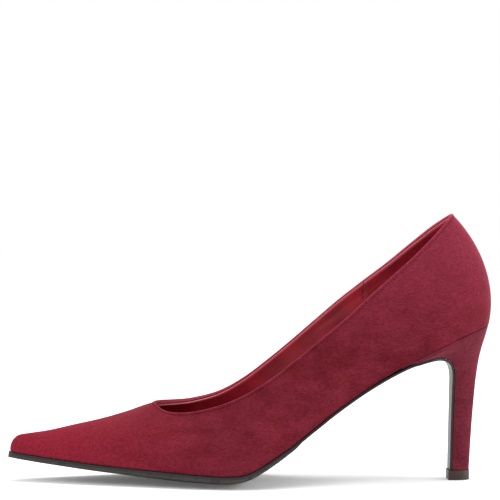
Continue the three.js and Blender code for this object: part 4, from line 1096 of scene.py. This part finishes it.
def flecked(name, dark, light, size, roughness, depth=0.0001, metallic=0.0, stretch=(1, 1, 1)):
    """A finish of two tones in flecks of a size in millimetres, raised by a depth in metres."""
    material, tree, at = new_material(name)
    stretched = node(tree, "Mapping", {"Vector": at, "Scale": stretch})
    flecks = noise(tree, stretched.outputs[0], size, 4, 0.6)
    spread = ranged(tree, flecks, start=(0.3, 0.7))
    colours = blend(tree, spread, linear(dark), linear(light))
    rough = ranged(tree, flecks, end=(roughness - 0.08, roughness + 0.08))
    bump = raised(tree, flecks, 0.4, depth)
    return finished(material, {
        "Base Color": colours, "Roughness": rough, "Metallic": metallic,
        "Normal": bump,
    })


HIDDEN = (
    # Non-woven board, dipped in resin and pressed: matt tan with 1.5 mm fibre clots.
    (flecked("non-woven stiffener board, resin-dipped", "b9a98c", "d8cbb0", 1.5, 0.8),
     ("toe_puff", "heel_counter")),
    # Cellulose board, pressed: matt brown with short fibres.
    (flecked("cellulose insole board, pressed", "a38a68", "c4ad8a", 1.2, 0.85), ("insole_board",)),
    # Cork, ground and set in resin: brown crumbs of 2 mm, rough to the touch.
    (flecked("ground cork in resin", "7b5836", "bd9160", 2.0, 0.9, 0.0003), ("bottom_filler",)),
    # ABS, injection moulded: natural off-white, with faint flow marks 6 mm across.
    (flecked("ABS, moulded, natural", "cfc8ba", "ded8cc", 6, 0.45), ("heel_block",)),
    # Steel, drawn and zinc plated: a grey satin metal with marks along its length.
    (flecked("zinc-plated spring steel", "8f9398", "b7babd", 1.4, 0.32, 0.00003, 1.0, (0.3, 1, 1)),
     ("steel_shank", "shank_rivet_front", "shank_rivet_back", "heel_tube", "heel_screw",
      "heel_nail_1", "heel_nail_2", "heel_nail_3", "heel_nail_4", "top_lift_pin")),
)
for material, names in HIDDEN:
    for name in names:
        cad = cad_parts[name]
        for slot in cad.material_slots:
            slot.link, slot.material = "OBJECT", material
        if not cad.material_slots:
            cad.data.materials.append(material)

# ---------------------------------------------------------------- floor, light and camera
# A white paper floor and white surroundings, with one broad key light from the front left, a fill
# from behind the heel and a top light.
FLOOR = 4
floor_mesh = bpy.data.meshes.new("studio_floor")
floor_mesh.from_pydata(
    [(x * FLOOR, y * FLOOR, 0) for x, y in ((-1, -1), (1, -1), (1, 1), (-1, 1))], [], [(0, 1, 2, 3)]
)
studio_floor = bpy.data.objects.new("studio_floor", floor_mesh)
bpy.context.scene.collection.objects.link(studio_floor)
paper, paper_tree, paper_at = new_material("matt white paper")
fibres = noise(paper_tree, paper_at, 4, 3)
white = blend(paper_tree, fibres, linear("f4f4f4"), linear("fafafa"))
floor_mesh.materials.append(finished(paper, {
    "Base Color": white, "Roughness": 0.9, "Specular IOR Level": 0.1,
    "Emission Color": (1, 1, 1, 1), "Emission Strength": 0.08,
}))

world = bpy.data.worlds.new("studio")
bpy.context.scene.world = world
world.use_nodes = True
background = world.node_tree.nodes["Background"]
background.inputs["Color"].default_value = (1, 1, 1, 1)
background.inputs["Strength"].default_value = 1.0
bpy.context.scene.view_settings.view_transform = "Standard"


def softbox(name, place, target, size, watts):
    light = bpy.data.lights.new(name, "AREA")
    light.shape, light.size, light.size_y, light.energy = "RECTANGLE", size[0], size[1], watts
    lamp = bpy.data.objects.new(name, light)
    lamp.location = place
    lamp.rotation_euler = (Vector(target) - Vector(place)).to_track_quat("-Z", "Y").to_euler()
    bpy.context.scene.collection.objects.link(lamp)


softbox("key_light", (-0.9, -1.1, 1.1), (0, 0, 0.06), (0.9, 0.9), 7)
softbox("fill_light", (1.3, -0.2, 0.4), (0.05, 0, 0.08), (0.6, 0.8), 9)
softbox("top_light", (0.1, 0.2, 1.4), (0, 0, 0.05), (1.1, 0.8), 14)

# The camera looks at the outer side, nearly square to it and from just above. Angles are in
# degrees, and the distance and the target in metres.
AZIMUTH, ELEVATION, DISTANCE, LENS = -1.36, 1.21, 1.127, 157.0
TARGET = Vector((0, 0, 0.1195))
turn, tilt = math.radians(AZIMUTH), math.radians(ELEVATION)
back_to = Vector((
    math.sin(turn) * math.cos(tilt), -math.cos(turn) * math.cos(tilt), math.sin(tilt),
))
camera = bpy.data.objects.new("camera", bpy.data.cameras.new("camera"))
camera.data.lens, camera.data.sensor_width = LENS, 36
camera.data.clip_start, camera.data.clip_end = 0.05, 50
camera.location = TARGET + back_to * DISTANCE
camera.rotation_euler = (-back_to).to_track_quat("-Z", "Y").to_euler()
bpy.context.scene.collection.objects.link(camera)
bpy.context.scene.camera = camera
